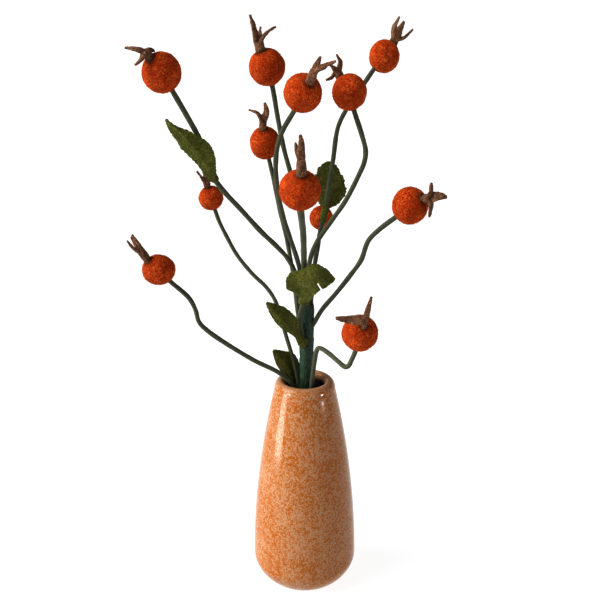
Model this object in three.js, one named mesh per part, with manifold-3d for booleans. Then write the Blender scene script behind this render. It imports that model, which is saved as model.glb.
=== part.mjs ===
// A rose hip sprig of felt and covered wire, standing in a small glazed bud vase.
// Millimetres, +Z up. The origin is the centre of the vase's flat foot. The front is seen along +Y.
// Twelve felt hips, each with a rolled felt calyx, sit on covered wires. The wires are bound into one
// stem with tape, five felt leaves are wrapped on, and the bound stem stands on the vase's floor.

import * as THREE from 'three';
import { mergeVertices } from 'three/addons/utils/BufferGeometryUtils.js';
import Module from 'manifold-3d';

const wasm = await Module();
wasm.setup();

// Driving dimensions

const GAP = 0.3; // free space between two pieces that touch
const FELT = 1.0; // thickness of the leaf felt
const WRAP = 0.9; // thickness of a leaf's tab where it is rolled round a wire
const WIRE = 1.35; // radius of a covered wire
const FINE_WIRE = 1.2;
const STOUT_WIRE = 1.65;
const WIRE_STEP = 8; // length of one straight piece of a wire, unless its bends are tight
const WIRE_SIDES = 8;
const TAB_STEPS = 3;

const VASE = {
  height: 135.3,
  footRadius: 18.7,
  bellyRadius: 32.1,
  bellyHeight: 16.1,
  bellySquareness: 1.6, // exponent of the superellipse between foot and belly
  shoulderRadius: 18.4,
  shoulderHeight: 129.7,
  taperPower: 1.87, // how late the wall draws in towards the shoulder
  mouthRadius: 11.2,
  wall: 4.6,
  floor: 5,
  throatHeight: 119, // below this the inside widens again
  insideHeights: [108, 84, 54, 24], // where the inside lies a wall's thickness within the outside
  cornerInset: 5, // the bevel between the inside and the floor
  cornerRise: 4,
  sides: 30,
};

const BINDING = {
  centre: [1, 0],
  bottom: VASE.floor + GAP,
  top: 183,
  radii: [ // height, radius
    [VASE.floor + GAP, 3.5],
    [60, 3.7],
    [108, 4.1],
    [150, 4.35],
    [181, 4.55],
  ],
  endRadius: 4.2,
  sides: 16,
};

// Each wire's route runs from its end inside the hip down to its end inside the binding.
const STEMS = {
  stem_1: { radius: 1.4, route: [
    [-69.7, -27.6, 310], [-67.1, -27, 304.8], [-60.4, -24.5, 291.7], [-55.1, -21, 280.1], [-52, -19, 270.4],
    [-49.4, -17, 260.5], [-45, -15, 253.1], [-35.4, -10.5, 241], [-24.6, -6, 227.4], [-15.6, -4.2, 218],
    [-9.9, -3.7, 211.2], [-5.9, -3.7, 203], [-4.7, -3.8, 192], [-4.1, -3.2, 180],
    [-3.1, -1.9, 173], [-2.1, -0.9, 169]] },
  stem_2: { radius: WIRE, route: [
    [-19.9, 12, 311.2], [-18.3, 12, 305.8], [-15.1, 13, 286.8], [-12.1, 13, 271.3], [-8, 12.5, 256],
    [-4, 10, 239.2], [-1.2, 7, 219.6], [-0.9, 3.5, 200], [-1.1, 1.7, 187], [-1.06, 1.5, 176]] },
  stem_3: { radius: WIRE, route: [
    [-3.5, -13.6, 299.7], [-6.1, -13, 294.1], [-12.2, -12, 283.6], [-15.3, -11, 273.5], [-16, -10, 261.5],
    [-14.7, -8, 248], [-11.8, -6, 234.1], [-8.9, -5, 224.7], [-3.9, -3.2, 208.4], [-1.6, -2, 196],
    [-1.06, -1.5, 186], [-1.06, -1.5, 176]] },
  stem_4: { radius: FINE_WIRE, route: [
    [-22, 21.5, 269], [-20.8, 21, 263.9], [-18.2, 19, 252.1], [-14.5, 16, 233.9], [-11.1, 13, 220.3],
    [-7.9, 9.5, 204.1], [-5.7, 6.2, 188], [-4, 4, 174], [-1.2, 1.8, 160]] },
  stem_5: { radius: WIRE, route: [
    [24.9, -2.5, 298.4], [26.4, -3, 292.7], [30, -5, 282.3], [32.7, -6, 272.2], [32, -6, 265.8],
    [29.5, -5.5, 259.5], [22.6, -4.5, 245], [16.4, -3.6, 235.4], [10.3, -3.4, 226.6], [6, -3.1, 219.4],
    [2.9, -3, 210.5], [1.9, -2.7, 199], [1.79, -2.43, 186], [1.79, -2.43, 176]] },
  stem_6: { radius: WIRE, route: [
    [43.1, 41.4, 317.2], [38.1, 40, 310.3], [29.6, 36, 298.1], [23.2, 33, 289.3], [19.1, 30.5, 280.5],
    [16.3, 25.5, 262.2], [14, 21.5, 248.7], [12.2, 17.5, 236.5], [10.1, 13.6, 229], [8, 9.6, 219.5],
    [6.2, 5.2, 209], [4.3, 1.6, 195], [3.55, 0, 186], [3.55, 0, 176]] },
  stem_7: { radius: STOUT_WIRE, route: [
    [-2.7, -60, 257], [-2.4, -57, 250.6], [-1.2, -38, 233.3], [-0.7, -21, 213.6], [-0.3, -14, 198.4],
    [-1, -11, 187.6], [-2.8, -8.2, 178], [-2.7, -5.6, 170.5], [-1, -1.8, 159]] },
  stem_8: { radius: FINE_WIRE, route: [
    [-55.5, 33.6, 235.6], [-54.1, 33, 231.5], [-51.8, 32, 224.9], [-47.2, 31, 215.2], [-41.2, 29, 204.5],
    [-32.4, 26, 194], [-23, 23, 185.3], [-17.8, 19.5, 178], [-14.6, 15, 169.1], [-11.3, 10.5, 158.9],
    [-7.2, 6.8, 145.6], [-3.7, 4.5, 130], [-2.4, 3.3, 118], [-0.4, 1.6, 104]] },
  stem_9: { radius: WIRE, route: [
    [52, -25.5, 243.4], [48.2, -25, 240], [40.1, -23, 233], [34.3, -21, 226.1], [30.8, -17, 214],
    [25.4, -13, 204.2], [17.6, -8.5, 192], [9.9, -4.6, 180.9], [6.2, -2.6, 173.6], [3.2, -1.2, 167],
    [2.4, -0.6, 160]] },
  stem_10: { radius: WIRE, route: [
    [-78.6, -15.6, 205], [-75, -15, 200.7], [-65.5, -14, 191], [-62.1, -14, 183.9], [-60.5, -13, 176.3],
    [-55.7, -12, 170.4], [-45.2, -10.3, 161.7], [-29.9, -8.3, 150.8], [-14.7, -6, 141.4],
    [-5.6, -4.3, 131.1], [-2.6, -2.8, 119], [-0.9, -1.2, 108]] },
  stem_11: { radius: WIRE, step: 4, route: [
    [28.8, -34, 172.3], [27.7, -34, 167.2], [25.4, -33.5, 160.8], [24.2, -33.2, 158], [22.7, -32.8, 156.8],
    [20.9, -31.5, 157.2], [18, -28.5, 158.8], [12.9, -22, 161], [9.4, -17.2, 161.6], [7.6, -14.6, 160.8],
    [6.6, -12.9, 158.2], [5.6, -10.6, 151], [4.6, -8.2, 141], [3.8, -6.7, 131.6], [2.8, -4.4, 120],
    [1.9, -1.8, 109]] },
  stem_12: { radius: FINE_WIRE, route: [
    [9.9, 39.4, 222.5], [9.4, 38, 218.6], [8.3, 30, 210.5], [6.1, 19, 202], [3.6, 8.5, 193.5],
    [2.2, 3.6, 187.5], [1.79, 2.43, 183], [1.79, 2.43, 176]] },
};

const BALL = {
  small: 18, // narrower balls than this have fewer faces
  swell: 1.005, // makes up for what the flat faces take off a round ball
};
// How a calyx is rolled and cut, in shares of its neck, of a sepal's width and of the felt's thickness
const CALYX = {
  neckSides: 7,
  neckTaper: 0.12, // how much slimmer the neck is at its top
  sepalStart: 0.45, // where a sepal leaves the neck, up its length and out from its axis
  sepalSides: 6,
  sepalSteps: 4,
  base: 1.05, // a sepal's width at its base
  swelling: 0.55, // how it widens past its base
  pointing: 1.3, // how it then draws in to its tip
  thickness: 1.3, // half its thickness at its base, where the felt is rolled
  thinning: 0.85, // how much less that is at its tip
};

// A hip is a felt ball. Its calyx is a rolled felt neck that splits into pointed sepals. The neck's ends
// and the sepals' middle points and tips are measured from the ball's centre.
const HIPS = [
  { centre: [-72.3, -28, 314.4], wide: 19.8, tall: 20.3,
    neck: [[-4.1, -5, 6.2], [-6, -6.5, 10.2]], neckRadius: 2.4,
    sepals: [
      { middle: [-10.1, -8, 11.3], tip: [-16.2, -7, 12.1], width: 4 },
      { middle: [-7.6, -10, 7], tip: [-11, -11, 3.9], width: 3.8 },
      { middle: [-4.8, -2, 10.8], tip: [-3.5, 2, 10.3], width: 3.1 }] },
  { centre: [-20.9, 12, 315.3], wide: 19.8, tall: 20.1,
    neck: [[-3, -3, 7.9], [-4.3, -3, 13.3]], neckRadius: 2.85,
    sepals: [
      { middle: [-6.6, -3, 20.5], tip: [-8.8, -2, 27.1], width: 3.6 },
      { middle: [0.5, -1, 18.2], tip: [5, 1, 21], width: 3.4 },
      { middle: [-3.9, 2, 17.4], tip: [-3.3, 4, 21], width: 2.6 }] },
  { centre: [-1.4, -14, 303.4], wide: 20, tall: 20.4,
    neck: [[3.5, -8, 5.7], [5.7, -12, 12.2]], neckRadius: 2.4,
    sepals: [
      { middle: [7.2, -12, 15.4], tip: [9, -10, 18.5], width: 3.1 },
      { middle: [11.2, -15, 14.5], tip: [16.5, -16, 16.6], width: 4.4 },
      { middle: [8.5, -8, 12.4], tip: [12, -4, 13.2], width: 2.9 }] },
  { centre: [-23, 22, 273], wide: 17.2, tall: 18.8,
    neck: [[-0.9, -4, 7.5], [-0.8, -5, 12.5]], neckRadius: 1.9,
    sepals: [
      { middle: [-3.8, -5, 17.2], tip: [-8.7, -4, 18.9], width: 2.6 },
      { middle: [1.2, -5, 17.8], tip: [0.3, -3, 22.8], width: 3.6 },
      { middle: [0.4, -1, 16.1], tip: [2, 4, 18], width: 2.6 }] },
  { centre: [23.5, -2, 303], wide: 18.5, tall: 19.3,
    neck: [[-4.4, 3, 6.6], [-6.2, 5, 10.4]], neckRadius: 2.3,
    sepals: [
      { middle: [-4.7, 6, 15], tip: [-6.9, 6, 19.4], width: 3 },
      { middle: [-8.3, 2, 12.3], tip: [-10.3, 1, 13.7], width: 2.9 },
      { middle: [-9.5, 4, 7.3], tip: [-12.5, 3, 6.1], width: 3.1 },
      { middle: [-7, 9, 10.6], tip: [-8, 13, 11.5], width: 2.9 }] },
  { centre: [45.9, 42, 320], wide: 17.5, tall: 18.7,
    neck: [[4.6, 3, 6], [6.3, 4, 9.6]], neckRadius: 2.7,
    sepals: [
      { middle: [5.4, 3, 15.2], tip: [8.6, 5, 21.9], width: 3.4 },
      { middle: [8.3, 2, 14.1], tip: [11.2, 3, 19.4], width: 3.8 },
      { middle: [11.5, 4, 10.2], tip: [16.8, 6, 14.9], width: 3.9 },
      { middle: [9, 9, 12.4], tip: [11, 13.5, 15.4], width: 3.8 }] },
  { centre: [-2.9, -62, 261.4], wide: 20.3, tall: 19.8,
    neck: [[0.7, -5.4, 7.9], [0.5, -8, 15.6]], neckRadius: 2.5,
    sepals: [
      { middle: [0.7, -7, 21.5], tip: [0.2, -4, 26.9], width: 3.5 },
      { middle: [-1.3, -6.4, 19.6], tip: [-2.2, -4.4, 23.4], width: 2.8 },
      { middle: [1.1, -4.4, 18.4], tip: [1.2, -1, 21.2], width: 2.6 }] },
  { centre: [-56.4, 34, 238.6], wide: 14.7, tall: 14.7,
    neck: [[-1.1, -1.7, 5.8], [-2.7, -2, 10.6]], neckRadius: 1.95,
    sepals: [
      { middle: [-5.2, -3, 13.3], tip: [-7.6, -3, 16.6], width: 3.2 },
      { middle: [-2.9, 0, 13.7], tip: [-3.2, 0.6, 17.2], width: 3.6 },
      { middle: [-1.6, 0.6, 12.4], tip: [0.6, 3.2, 14.4], width: 2.6 }] },
  { centre: [55.3, -26, 246.3], wide: 19, tall: 20,
    neck: [[4.5, -5.4, 4.4], [8.6, -8, 5.7]], neckRadius: 2,
    sepals: [
      { middle: [9.3, -9, 10.1], tip: [9.5, -8, 13.9], width: 3.9 },
      { middle: [12.9, -10, 7.1], tip: [17.6, -10, 6.5], width: 5.1 },
      { middle: [9.8, -8.6, 0.8], tip: [9.4, -7, -4.6], width: 4.3 },
      { middle: [11.1, -2, 5.6], tip: [13.7, 3, 5], width: 3.6 }] },
  { centre: [-81.3, -16, 208.2], wide: 18.4, tall: 16.7,
    neck: [[-4.4, -3.4, 5.2], [-8.7, -4, 11.8]], neckRadius: 2.2,
    sepals: [
      { middle: [-10.3, -4, 16.3], tip: [-13, -3, 20.6], width: 3.4 },
      { middle: [-12.4, -5, 13.6], tip: [-15.6, -5, 17.9], width: 3.4 },
      { middle: [-12, -0.6, 14.9], tip: [-14.6, 2.4, 18.2], width: 2.5 }] },
  { centre: [29.8, -34, 177.4], wide: 19.9, tall: 20.1,
    neck: [[1.4, -7, 5.6], [1.8, -10, 10.5]], neckRadius: 1.5,
    sepals: [
      { middle: [-6.3, -11, 11.5], tip: [-14, -12, 12.9], width: 5.7 },
      { middle: [2.7, -13, 16.6], tip: [4.5, -14, 25.4], width: 3 }] },
  { centre: [10.1, 40, 225.1], wide: 14.4, tall: 14.7,
    neck: [[0.9, 1.6, 5.7], [2, 4, 10.2]], neckRadius: 2,
    sepals: [
      { middle: [0.3, 6, 12.6], tip: [-1.2, 8, 16], width: 3.1 },
      { middle: [4.1, 3, 12.9], tip: [5.9, 2.6, 16.6], width: 3.1 },
      { middle: [3.7, 8, 11.9], tip: [5.4, 12, 14.1], width: 3.1 }] },
];

// A leaf is cut from felt. Its midrib and its two edges run from the stub to the tip, and the blade lies
// straight between them, so the edges' places also say how it folds and curls.
const LEAVES = {
  leaf_1: { on: 'stem_1', tab: [257.5, 264],
    midrib: [[-49.9, -17.9, 257.8], [-51.1, -22.5, 264.6], [-53.8, -26, 272], [-58.9, -28.5, 279],
      [-65.3, -28, 286], [-71.6, -26, 291.3]],
    left: [[-50.7, -17.7, 257.4], [-53.8, -20.2, 262.2], [-57.1, -22, 267.8], [-61.3, -23.5, 272.5],
      [-65.3, -24.5, 277.8], [-68.6, -25.5, 283], [-71.4, -26, 288.8], [-71.9, -26, 291.3]],
    right: [[-48.9, -18.1, 258.1], [-47.1, -23, 263.1], [-46.7, -28.5, 270.8], [-47.7, -31.5, 277.1],
      [-50.4, -32.5, 280.9], [-54.6, -32, 283.5], [-60.5, -30.5, 286.3], [-67.2, -28.5, 288.8],
      [-71.4, -26, 291.4]] },
  leaf_2: { on: 'stem_7', tab: [186.5, 191.5],
    midrib: [[-1.2, -12.5, 187.5], [-2.6, -20, 195.9], [-1.3, -26.5, 203.1], [3, -30, 207.8],
      [9.5, -29, 207.8], [16.2, -25, 205.5]],
    left: [[-2.6, -12.5, 189.3], [-4.9, -17, 194.9], [-10.3, -23, 199.6], [-10.6, -24.5, 204.2],
      [-7.8, -25, 209.3], [-2.5, -26, 211], [2.5, -26.5, 213.9], [6.3, -26.5, 214.5],
      [9.8, -26.5, 212.7], [13, -26, 209.8], [16.4, -25, 205.9]],
    right: [[0.5, -13.5, 187.9], [3.2, -21, 192.1], [6.6, -29, 199.3], [12.3, -29.5, 202.9],
      [16.2, -25, 205.1]] },
  leaf_3: { on: 'stem_6', tab: [228, 237.5],
    midrib: [[11.4, 18.5, 234.8], [12.7, 22.5, 240.8], [13.9, 27.5, 247.6], [14.3, 31, 254.1],
      [14, 33, 260.7]],
    left: [[10.4, 18.5, 235.1], [7.8, 21.5, 238.7], [6.2, 25.5, 243.8], [5.9, 29.5, 250.8],
      [7.3, 31.5, 256.1], [10.3, 32.7, 259.3], [13.5, 33, 260.8]],
    right: [[12.5, 18.5, 235], [17.7, 21.5, 236.3], [22, 24, 239.2], [24.5, 27, 243.5],
      [23.9, 29.5, 249], [21.8, 31.2, 253.5], [19.3, 32.2, 257.5], [16.8, 32.8, 259.9],
      [14.4, 33, 260.8]] },
  leaf_4: {
    midrib: [[0.6, -5.4, 159.2], [-3.3, -8.4, 165.3], [-8.1, -11.5, 171.5], [-12.6, -14.5, 177.4],
      [-17.3, -16.5, 183.5], [-21.8, -17, 189.1]],
    left: [[-1.1, -5, 156.4], [-3.9, -6.2, 159.9], [-5.1, -7.8, 164.1], [-6.7, -8.8, 166.6],
      [-10.1, -10.5, 169.4], [-13.8, -12, 172.6], [-17.1, -13.8, 177.2], [-19.9, -15.5, 182.6],
      [-21.9, -17, 188.7]],
    right: [[1.8, -5.3, 162.3], [-1.4, -7, 165], [-3, -8.1, 169], [-3.5, -9.2, 172.5],
      [-4.2, -10.2, 176.1], [-7.5, -11.2, 180.8], [-11.7, -12.8, 184.8], [-17, -14.8, 187.7],
      [-21.6, -17, 189.6]] },
  leaf_5: {
    midrib: [[1.5, 6, 104], [-2.6, 6.7, 118], [-5.3, 5.8, 126], [-8.2, 5, 135], [-10.7, 4.2, 141.9],
      [-14.9, 3.2, 148.2], [-19, 2.5, 152.8]],
    left: [[0, 5.6, 104.6], [-4.2, 6.2, 118.4], [-6.9, 5.4, 126.2], [-8.7, 4.9, 130.5],
      [-10.3, 4.6, 133.9], [-13.2, 4.3, 136.8], [-16.5, 3.8, 142.1], [-18.3, 3, 147.6],
      [-19.2, 2.4, 152.5]],
    right: [[3, 6.4, 103.6], [-1.2, 7.2, 117.6], [-3.5, 6.6, 125.8], [-2.9, 8.6, 131.4],
      [-2.7, 9.9, 136.9], [-3.5, 10.2, 141.4], [-5.6, 9.6, 146.2], [-8.9, 8, 149.3],
      [-13.7, 5.5, 151.4], [-18.9, 2.7, 153]] },
};
const LEAF = {
  rows: 18, // steps from the stub to the tip
  columns: 4,
  border: 0.45, // how far the felt reaches past each edge's line
  steady: 0.9, // the share of the length after which the blade's lie no longer turns
};

const FINISHES = {
  glaze: new THREE.MeshStandardMaterial({ color: 0xd98a55, roughness: 0.15, metalness: 0 }),
  orange_felt: new THREE.MeshStandardMaterial({ color: 0xc0400f, roughness: 0.95, metalness: 0 }),
  brown_felt: new THREE.MeshStandardMaterial({ color: 0x4a2a1b, roughness: 0.95, metalness: 0 }),
  green_felt: new THREE.MeshStandardMaterial({ color: 0x4f5420, roughness: 0.95, metalness: 0 }),
  wire_cover: new THREE.MeshStandardMaterial({ color: 0x4a4f38, roughness: 0.8, metalness: 0 }),
  tape: new THREE.MeshStandardMaterial({ color: 0x1d3526, roughness: 0.85, metalness: 0 }),
};

const vector = (p) => new THREE.Vector3(...p);
const curveThrough = (points) => new THREE.CatmullRomCurve3(points.map(vector));

// Six times the volume inside a geometry's faces. It is negative where they point inwards.
function signedVolume(position, index) {
  const [a, b, c] = [new THREE.Vector3(), new THREE.Vector3(), new THREE.Vector3()];
  let sum = 0;
  for (let i = 0; i < index.length; i += 3) {
    a.fromBufferAttribute(position, index[i]);
    b.fromBufferAttribute(position, index[i + 1]);
    c.fromBufferAttribute(position, index[i + 2]);
    sum += a.dot(b.cross(c));
  }
  return sum;
}

// Welds a closed geometry, drops its faces of no area and turns it into a solid.
function solidOf(geometry) {
  const bare = new THREE.BufferGeometry();
  bare.setAttribute('position', geometry.getAttribute('position'));
  if (geometry.index) bare.setIndex(geometry.index);
  const welded = mergeVertices(bare, 1e-4);
  const faces = [];
  for (let i = 0; i < welded.index.count; i += 3) {
    const corners = [0, 1, 2].map((k) => welded.index.getX(i + k));
    if (new Set(corners).size === 3) faces.push(...corners);
  }
  if (signedVolume(welded.getAttribute('position'), faces) < 0) faces.reverse();
  return new wasm.Manifold(new wasm.Mesh({
    numProp: 3,
    vertProperties: new Float32Array(welded.getAttribute('position').array),
    triVerts: new Uint32Array(faces),
  }));
}

function meshOf(solid, name, finish) {
  const made = solid.getMesh();
  const geometry = new THREE.BufferGeometry();
  geometry.setAttribute('position', new THREE.BufferAttribute(new Float32Array(made.vertProperties), 3));
  geometry.setIndex(new THREE.BufferAttribute(new Uint32Array(made.triVerts), 1));
  geometry.computeVertexNormals();
  const mesh = new THREE.Mesh(geometry, finish);
  mesh.name = name;
  return mesh;
}

const joined = (solids) => solids.reduce((whole, solid) => whole.add(solid));
const without = (solid, cutters) => cutters.reduce((left, cutter) => left.subtract(cutter), solid);

// A round section with flat sides, drawn a little larger so that its area is near the full circle's.
function roundSection(radius, sides) {
  const half = Math.PI / sides;
  const corner = radius * Math.sqrt(half / Math.sin(half));
  const points = Array.from({ length: sides }, (_, i) => {
    const turn = (2 * Math.PI * i) / sides;
    return new THREE.Vector2(corner * Math.cos(turn), corner * Math.sin(turn));
  });
  return new THREE.Shape(points);
}

function rod(curve, radius, sides, steps) {
  const path = { steps, extrudePath: curve, bevelEnabled: false };
  return solidOf(new THREE.ExtrudeGeometry(roundSection(radius, sides), path));
}

// A strip of oval section along a curve. across is the way its width lies, and size(s) gives the
// half width and half thickness at s, from 0 at the start to 1 at the end.
function strip(curve, across, size, sides, steps) {
  const positions = [];
  const index = [];
  for (let i = 0; i <= steps; i++) {
    const s = i / steps;
    const at = curve.getPointAt(s);
    const along = curve.getTangentAt(s);
    const thin = new THREE.Vector3().crossVectors(along, across).normalize();
    const wide = new THREE.Vector3().crossVectors(thin, along).normalize();
    const [halfWidth, halfThickness] = size(s);
    for (let k = 0; k < sides; k++) {
      const turn = (2 * Math.PI * k) / sides;
      const point = at.clone()
        .addScaledVector(wide, halfWidth * Math.cos(turn))
        .addScaledVector(thin, halfThickness * Math.sin(turn));
      positions.push(...point);
    }
  }
  for (let i = 0; i < steps; i++) {
    for (let k = 0; k < sides; k++) {
      const next = (k + 1) % sides;
      const [a, b] = [i * sides + k, i * sides + next];
      index.push(a, b, b + sides, a, b + sides, a + sides);
    }
  }
  const last = steps * sides;
  for (let k = 1; k < sides - 1; k++) {
    index.push(0, k + 1, k, last, last + k, last + k + 1);
  }
  const geometry = new THREE.BufferGeometry();
  geometry.setAttribute('position', new THREE.Float32BufferAttribute(positions, 3));
  geometry.setIndex(index);
  return solidOf(geometry);
}

// Vase: foot, belly, taper and rounded lip outside, and a throat that opens into the hollow inside

function taperRadius(height) {
  const s = (height - VASE.bellyHeight) / (VASE.shoulderHeight - VASE.bellyHeight);
  return VASE.bellyRadius + (VASE.shoulderRadius - VASE.bellyRadius) * s ** VASE.taperPower;
}

function vaseProfile() {
  const profile = [[0, 0], [VASE.footRadius, 0]];
  const footSteps = 7;
  for (let i = 1; i <= footSteps; i++) {
    const turn = (Math.PI / 2) * (i / footSteps);
    const power = 2 / VASE.bellySquareness;
    profile.push([
      VASE.footRadius + (VASE.bellyRadius - VASE.footRadius) * Math.sin(turn) ** power,
      VASE.bellyHeight * (1 - Math.cos(turn) ** power),
    ]);
  }
  const taperSteps = 7;
  for (let i = 1; i <= taperSteps; i++) {
    const height = VASE.bellyHeight + (VASE.shoulderHeight - VASE.bellyHeight) * (i / taperSteps);
    profile.push([taperRadius(height), height]);
  }
  const crest = (VASE.shoulderRadius + VASE.mouthRadius) / 2;
  const lipSteps = 6;
  for (let i = 1; i <= lipSteps; i++) {
    const turn = Math.PI * (i / lipSteps);
    profile.push([
      crest + (VASE.shoulderRadius - crest) * Math.cos(turn),
      VASE.shoulderHeight + (VASE.height - VASE.shoulderHeight) * Math.sin(turn),
    ]);
  }
  profile.push([VASE.mouthRadius, VASE.throatHeight]);
  for (const height of VASE.insideHeights) {
    profile.push([taperRadius(height) - VASE.wall, height]);
  }
  const cornerRadius = profile.at(-1)[0] - VASE.cornerInset;
  profile.push([cornerRadius, VASE.floor + VASE.cornerRise]);
  profile.push([cornerRadius - VASE.cornerInset, VASE.floor], [0, VASE.floor]);
  return profile.map(([radius, height]) => new THREE.Vector2(radius, height));
}

function makeVase() {
  const geometry = new THREE.LatheGeometry(vaseProfile(), VASE.sides);
  geometry.rotateX(Math.PI / 2);
  return solidOf(geometry);
}

// Wires, and the same wires a gap wider and longer, which are the holes that they need

function longer(route, extra) {
  const points = route.map(vector);
  const [first, second] = points;
  const [next, last] = points.slice(-2);
  const start = first.clone().add(first.clone().sub(second).setLength(extra));
  const end = last.clone().add(last.clone().sub(next).setLength(extra));
  return [start, ...points.slice(1, -1), end].map((p) => p.toArray());
}

function makeWire({ radius, route, step = WIRE_STEP }, grown = 0) {
  const curve = curveThrough(grown ? longer(route, grown) : route);
  return rod(curve, radius + grown, WIRE_SIDES, Math.round(curve.getLength() / step));
}

// Binding: tape wound round the wires' lower ends, slimmer towards the foot

function makeSleeve(grown = 0) {
  const profile = [
    [0, BINDING.bottom - grown],
    ...BINDING.radii.map(([height, radius], i) => [radius + grown, i ? height : height - grown]),
    [BINDING.endRadius + grown, BINDING.top + grown],
    [0, BINDING.top + grown],
  ].map(([radius, height]) => new THREE.Vector2(radius, height));
  const geometry = new THREE.LatheGeometry(profile, BINDING.sides);
  geometry.rotateX(Math.PI / 2);
  geometry.translate(...BINDING.centre, 0);
  return solidOf(geometry);
}

// Hips

function makeNeck({ centre, neck, neckRadius }, grown = 0) {
  const [foot, top] = neck.map((p) => vector(p).add(vector(centre)));
  const along = top.clone().sub(foot).normalize();
  const across = new THREE.Vector3(1, 0, 0).cross(along);
  foot.addScaledVector(along, -grown);
  const radius = (s) => (neckRadius + grown) * (1 - CALYX.neckTaper * s);
  const size = (s) => [radius(s), radius(s)];
  return strip(new THREE.LineCurve3(foot, top), across, size, CALYX.neckSides, 1);
}

function makeSepal(hip, { middle, tip, width }) {
  const [foot, top] = hip.neck.map(vector);
  const axis = top.clone().sub(foot).normalize();
  const reach = vector(tip).sub(top);
  const outward = reach.clone().addScaledVector(axis, -reach.dot(axis)).normalize();
  const rim = hip.neckRadius * CALYX.sepalStart;
  const points = [
    foot.clone().lerp(top, CALYX.sepalStart).addScaledVector(outward, rim),
    top.clone().addScaledVector(outward, rim),
    vector(middle),
    vector(tip),
  ].map((p) => p.add(vector(hip.centre)));
  const across = new THREE.Vector3().crossVectors(axis, outward);
  const size = (s) => [
    (width / 2) * (CALYX.base + CALYX.swelling * s - CALYX.pointing * s * s),
    FELT * (CALYX.thickness - CALYX.thinning * s),
  ];
  const curve = new THREE.CatmullRomCurve3(points);
  return strip(curve, across, size, CALYX.sepalSides, CALYX.sepalSteps);
}

const makeCalyx = (hip) => joined([makeNeck(hip), ...hip.sepals.map((sepal) => makeSepal(hip, sepal))]);

function makeBall(hip, wireHole) {
  const geometry = new THREE.IcosahedronGeometry(BALL.swell, hip.wide < BALL.small ? 2 : 3);
  geometry.scale(hip.wide / 2, hip.wide / 2, hip.tall / 2);
  geometry.translate(...hip.centre);
  return without(solidOf(geometry), [wireHole, makeNeck(hip, GAP)]);
}

// Leaves

// A point of a blade's middle layer: s runs from the stub to the tip, and t from -1 at the left edge
// over the midrib to 1 at the right edge. up is the way that the felt's thickness lies.
function bladeRow({ midrib, edges }, s) {
  const at = midrib.getPointAt(s);
  const lie = Math.min(s, LEAF.steady);
  const [left, right] = edges.map((edge) => edge.getPointAt(lie));
  const up = new THREE.Vector3().crossVectors(midrib.getTangentAt(lie), right.sub(left)).normalize();
  const side = new THREE.Vector3().crossVectors(up, midrib.getTangentAt(lie));
  const point = (t) => {
    const reach = edges[t < 0 ? 0 : 1].getPointAt(s).sub(at);
    reach.addScaledVector(side, LEAF.border * Math.sign(t));
    return at.clone().addScaledVector(reach, Math.abs(t));
  };
  return { point, up };
}

function makeBlade({ midrib, left, right }) {
  const lines = { midrib: curveThrough(midrib), edges: [left, right].map(curveThrough) };
  const positions = [];
  for (let i = 0; i <= LEAF.rows; i++) {
    const { point, up } = bladeRow(lines, i / LEAF.rows);
    for (let j = 0; j <= LEAF.columns; j++) {
      const middle = point((2 * j) / LEAF.columns - 1);
      positions.push(...middle.clone().addScaledVector(up, FELT / 2));
      positions.push(...middle.clone().addScaledVector(up, -FELT / 2));
    }
  }
  const top = (i, j) => 2 * (i * (LEAF.columns + 1) + j);
  const under = (i, j) => top(i, j) + 1;
  const index = [];
  const quad = (a, b, c, d) => index.push(a, b, c, a, c, d);
  for (let i = 0; i < LEAF.rows; i++) {
    for (let j = 0; j < LEAF.columns; j++) {
      quad(top(i, j), top(i, j + 1), top(i + 1, j + 1), top(i + 1, j));
      // The same diagonal as above it, so that the two faces never cross
      index.push(under(i, j), under(i + 1, j + 1), under(i, j + 1));
      index.push(under(i, j), under(i + 1, j), under(i + 1, j + 1));
    }
    const last = LEAF.columns;
    quad(top(i, 0), top(i + 1, 0), under(i + 1, 0), under(i, 0));
    quad(top(i + 1, last), top(i, last), under(i, last), under(i + 1, last));
  }
  for (let j = 0; j < LEAF.columns; j++) {
    const last = LEAF.rows;
    quad(top(0, j + 1), top(0, j), under(0, j), under(0, j + 1));
    quad(top(last, j), top(last, j + 1), under(last, j + 1), under(last, j));
  }
  const geometry = new THREE.BufferGeometry();
  geometry.setAttribute('position', new THREE.Float32BufferAttribute(positions, 3));
  geometry.setIndex(index);
  return solidOf(geometry);
}

// The part of a wire between two heights, which a leaf's tab is rolled round.
function tabRoute({ route }, [low, high]) {
  const samples = 400;
  const inside = curveThrough(route).getSpacedPoints(samples).filter((p) => p.z >= low && p.z <= high);
  const kept = [0, 0.5, 1].map((s) => inside[Math.round(s * (inside.length - 1))]);
  return new THREE.CatmullRomCurve3(kept);
}

function makeLeaf(leaf, holes) {
  const pieces = [makeBlade(leaf)];
  if (leaf.on) {
    const wire = STEMS[leaf.on];
    pieces.push(rod(tabRoute(wire, leaf.tab), wire.radius + GAP + WRAP, WIRE_SIDES, TAB_STEPS));
  }
  return without(joined(pieces), holes);
}

// Assembly

const sprig = new THREE.Group();
const wireHoles = Object.values(STEMS).map((stem) => makeWire(stem, GAP));
const nearLeaves = [...wireHoles, makeSleeve(GAP)];

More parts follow.
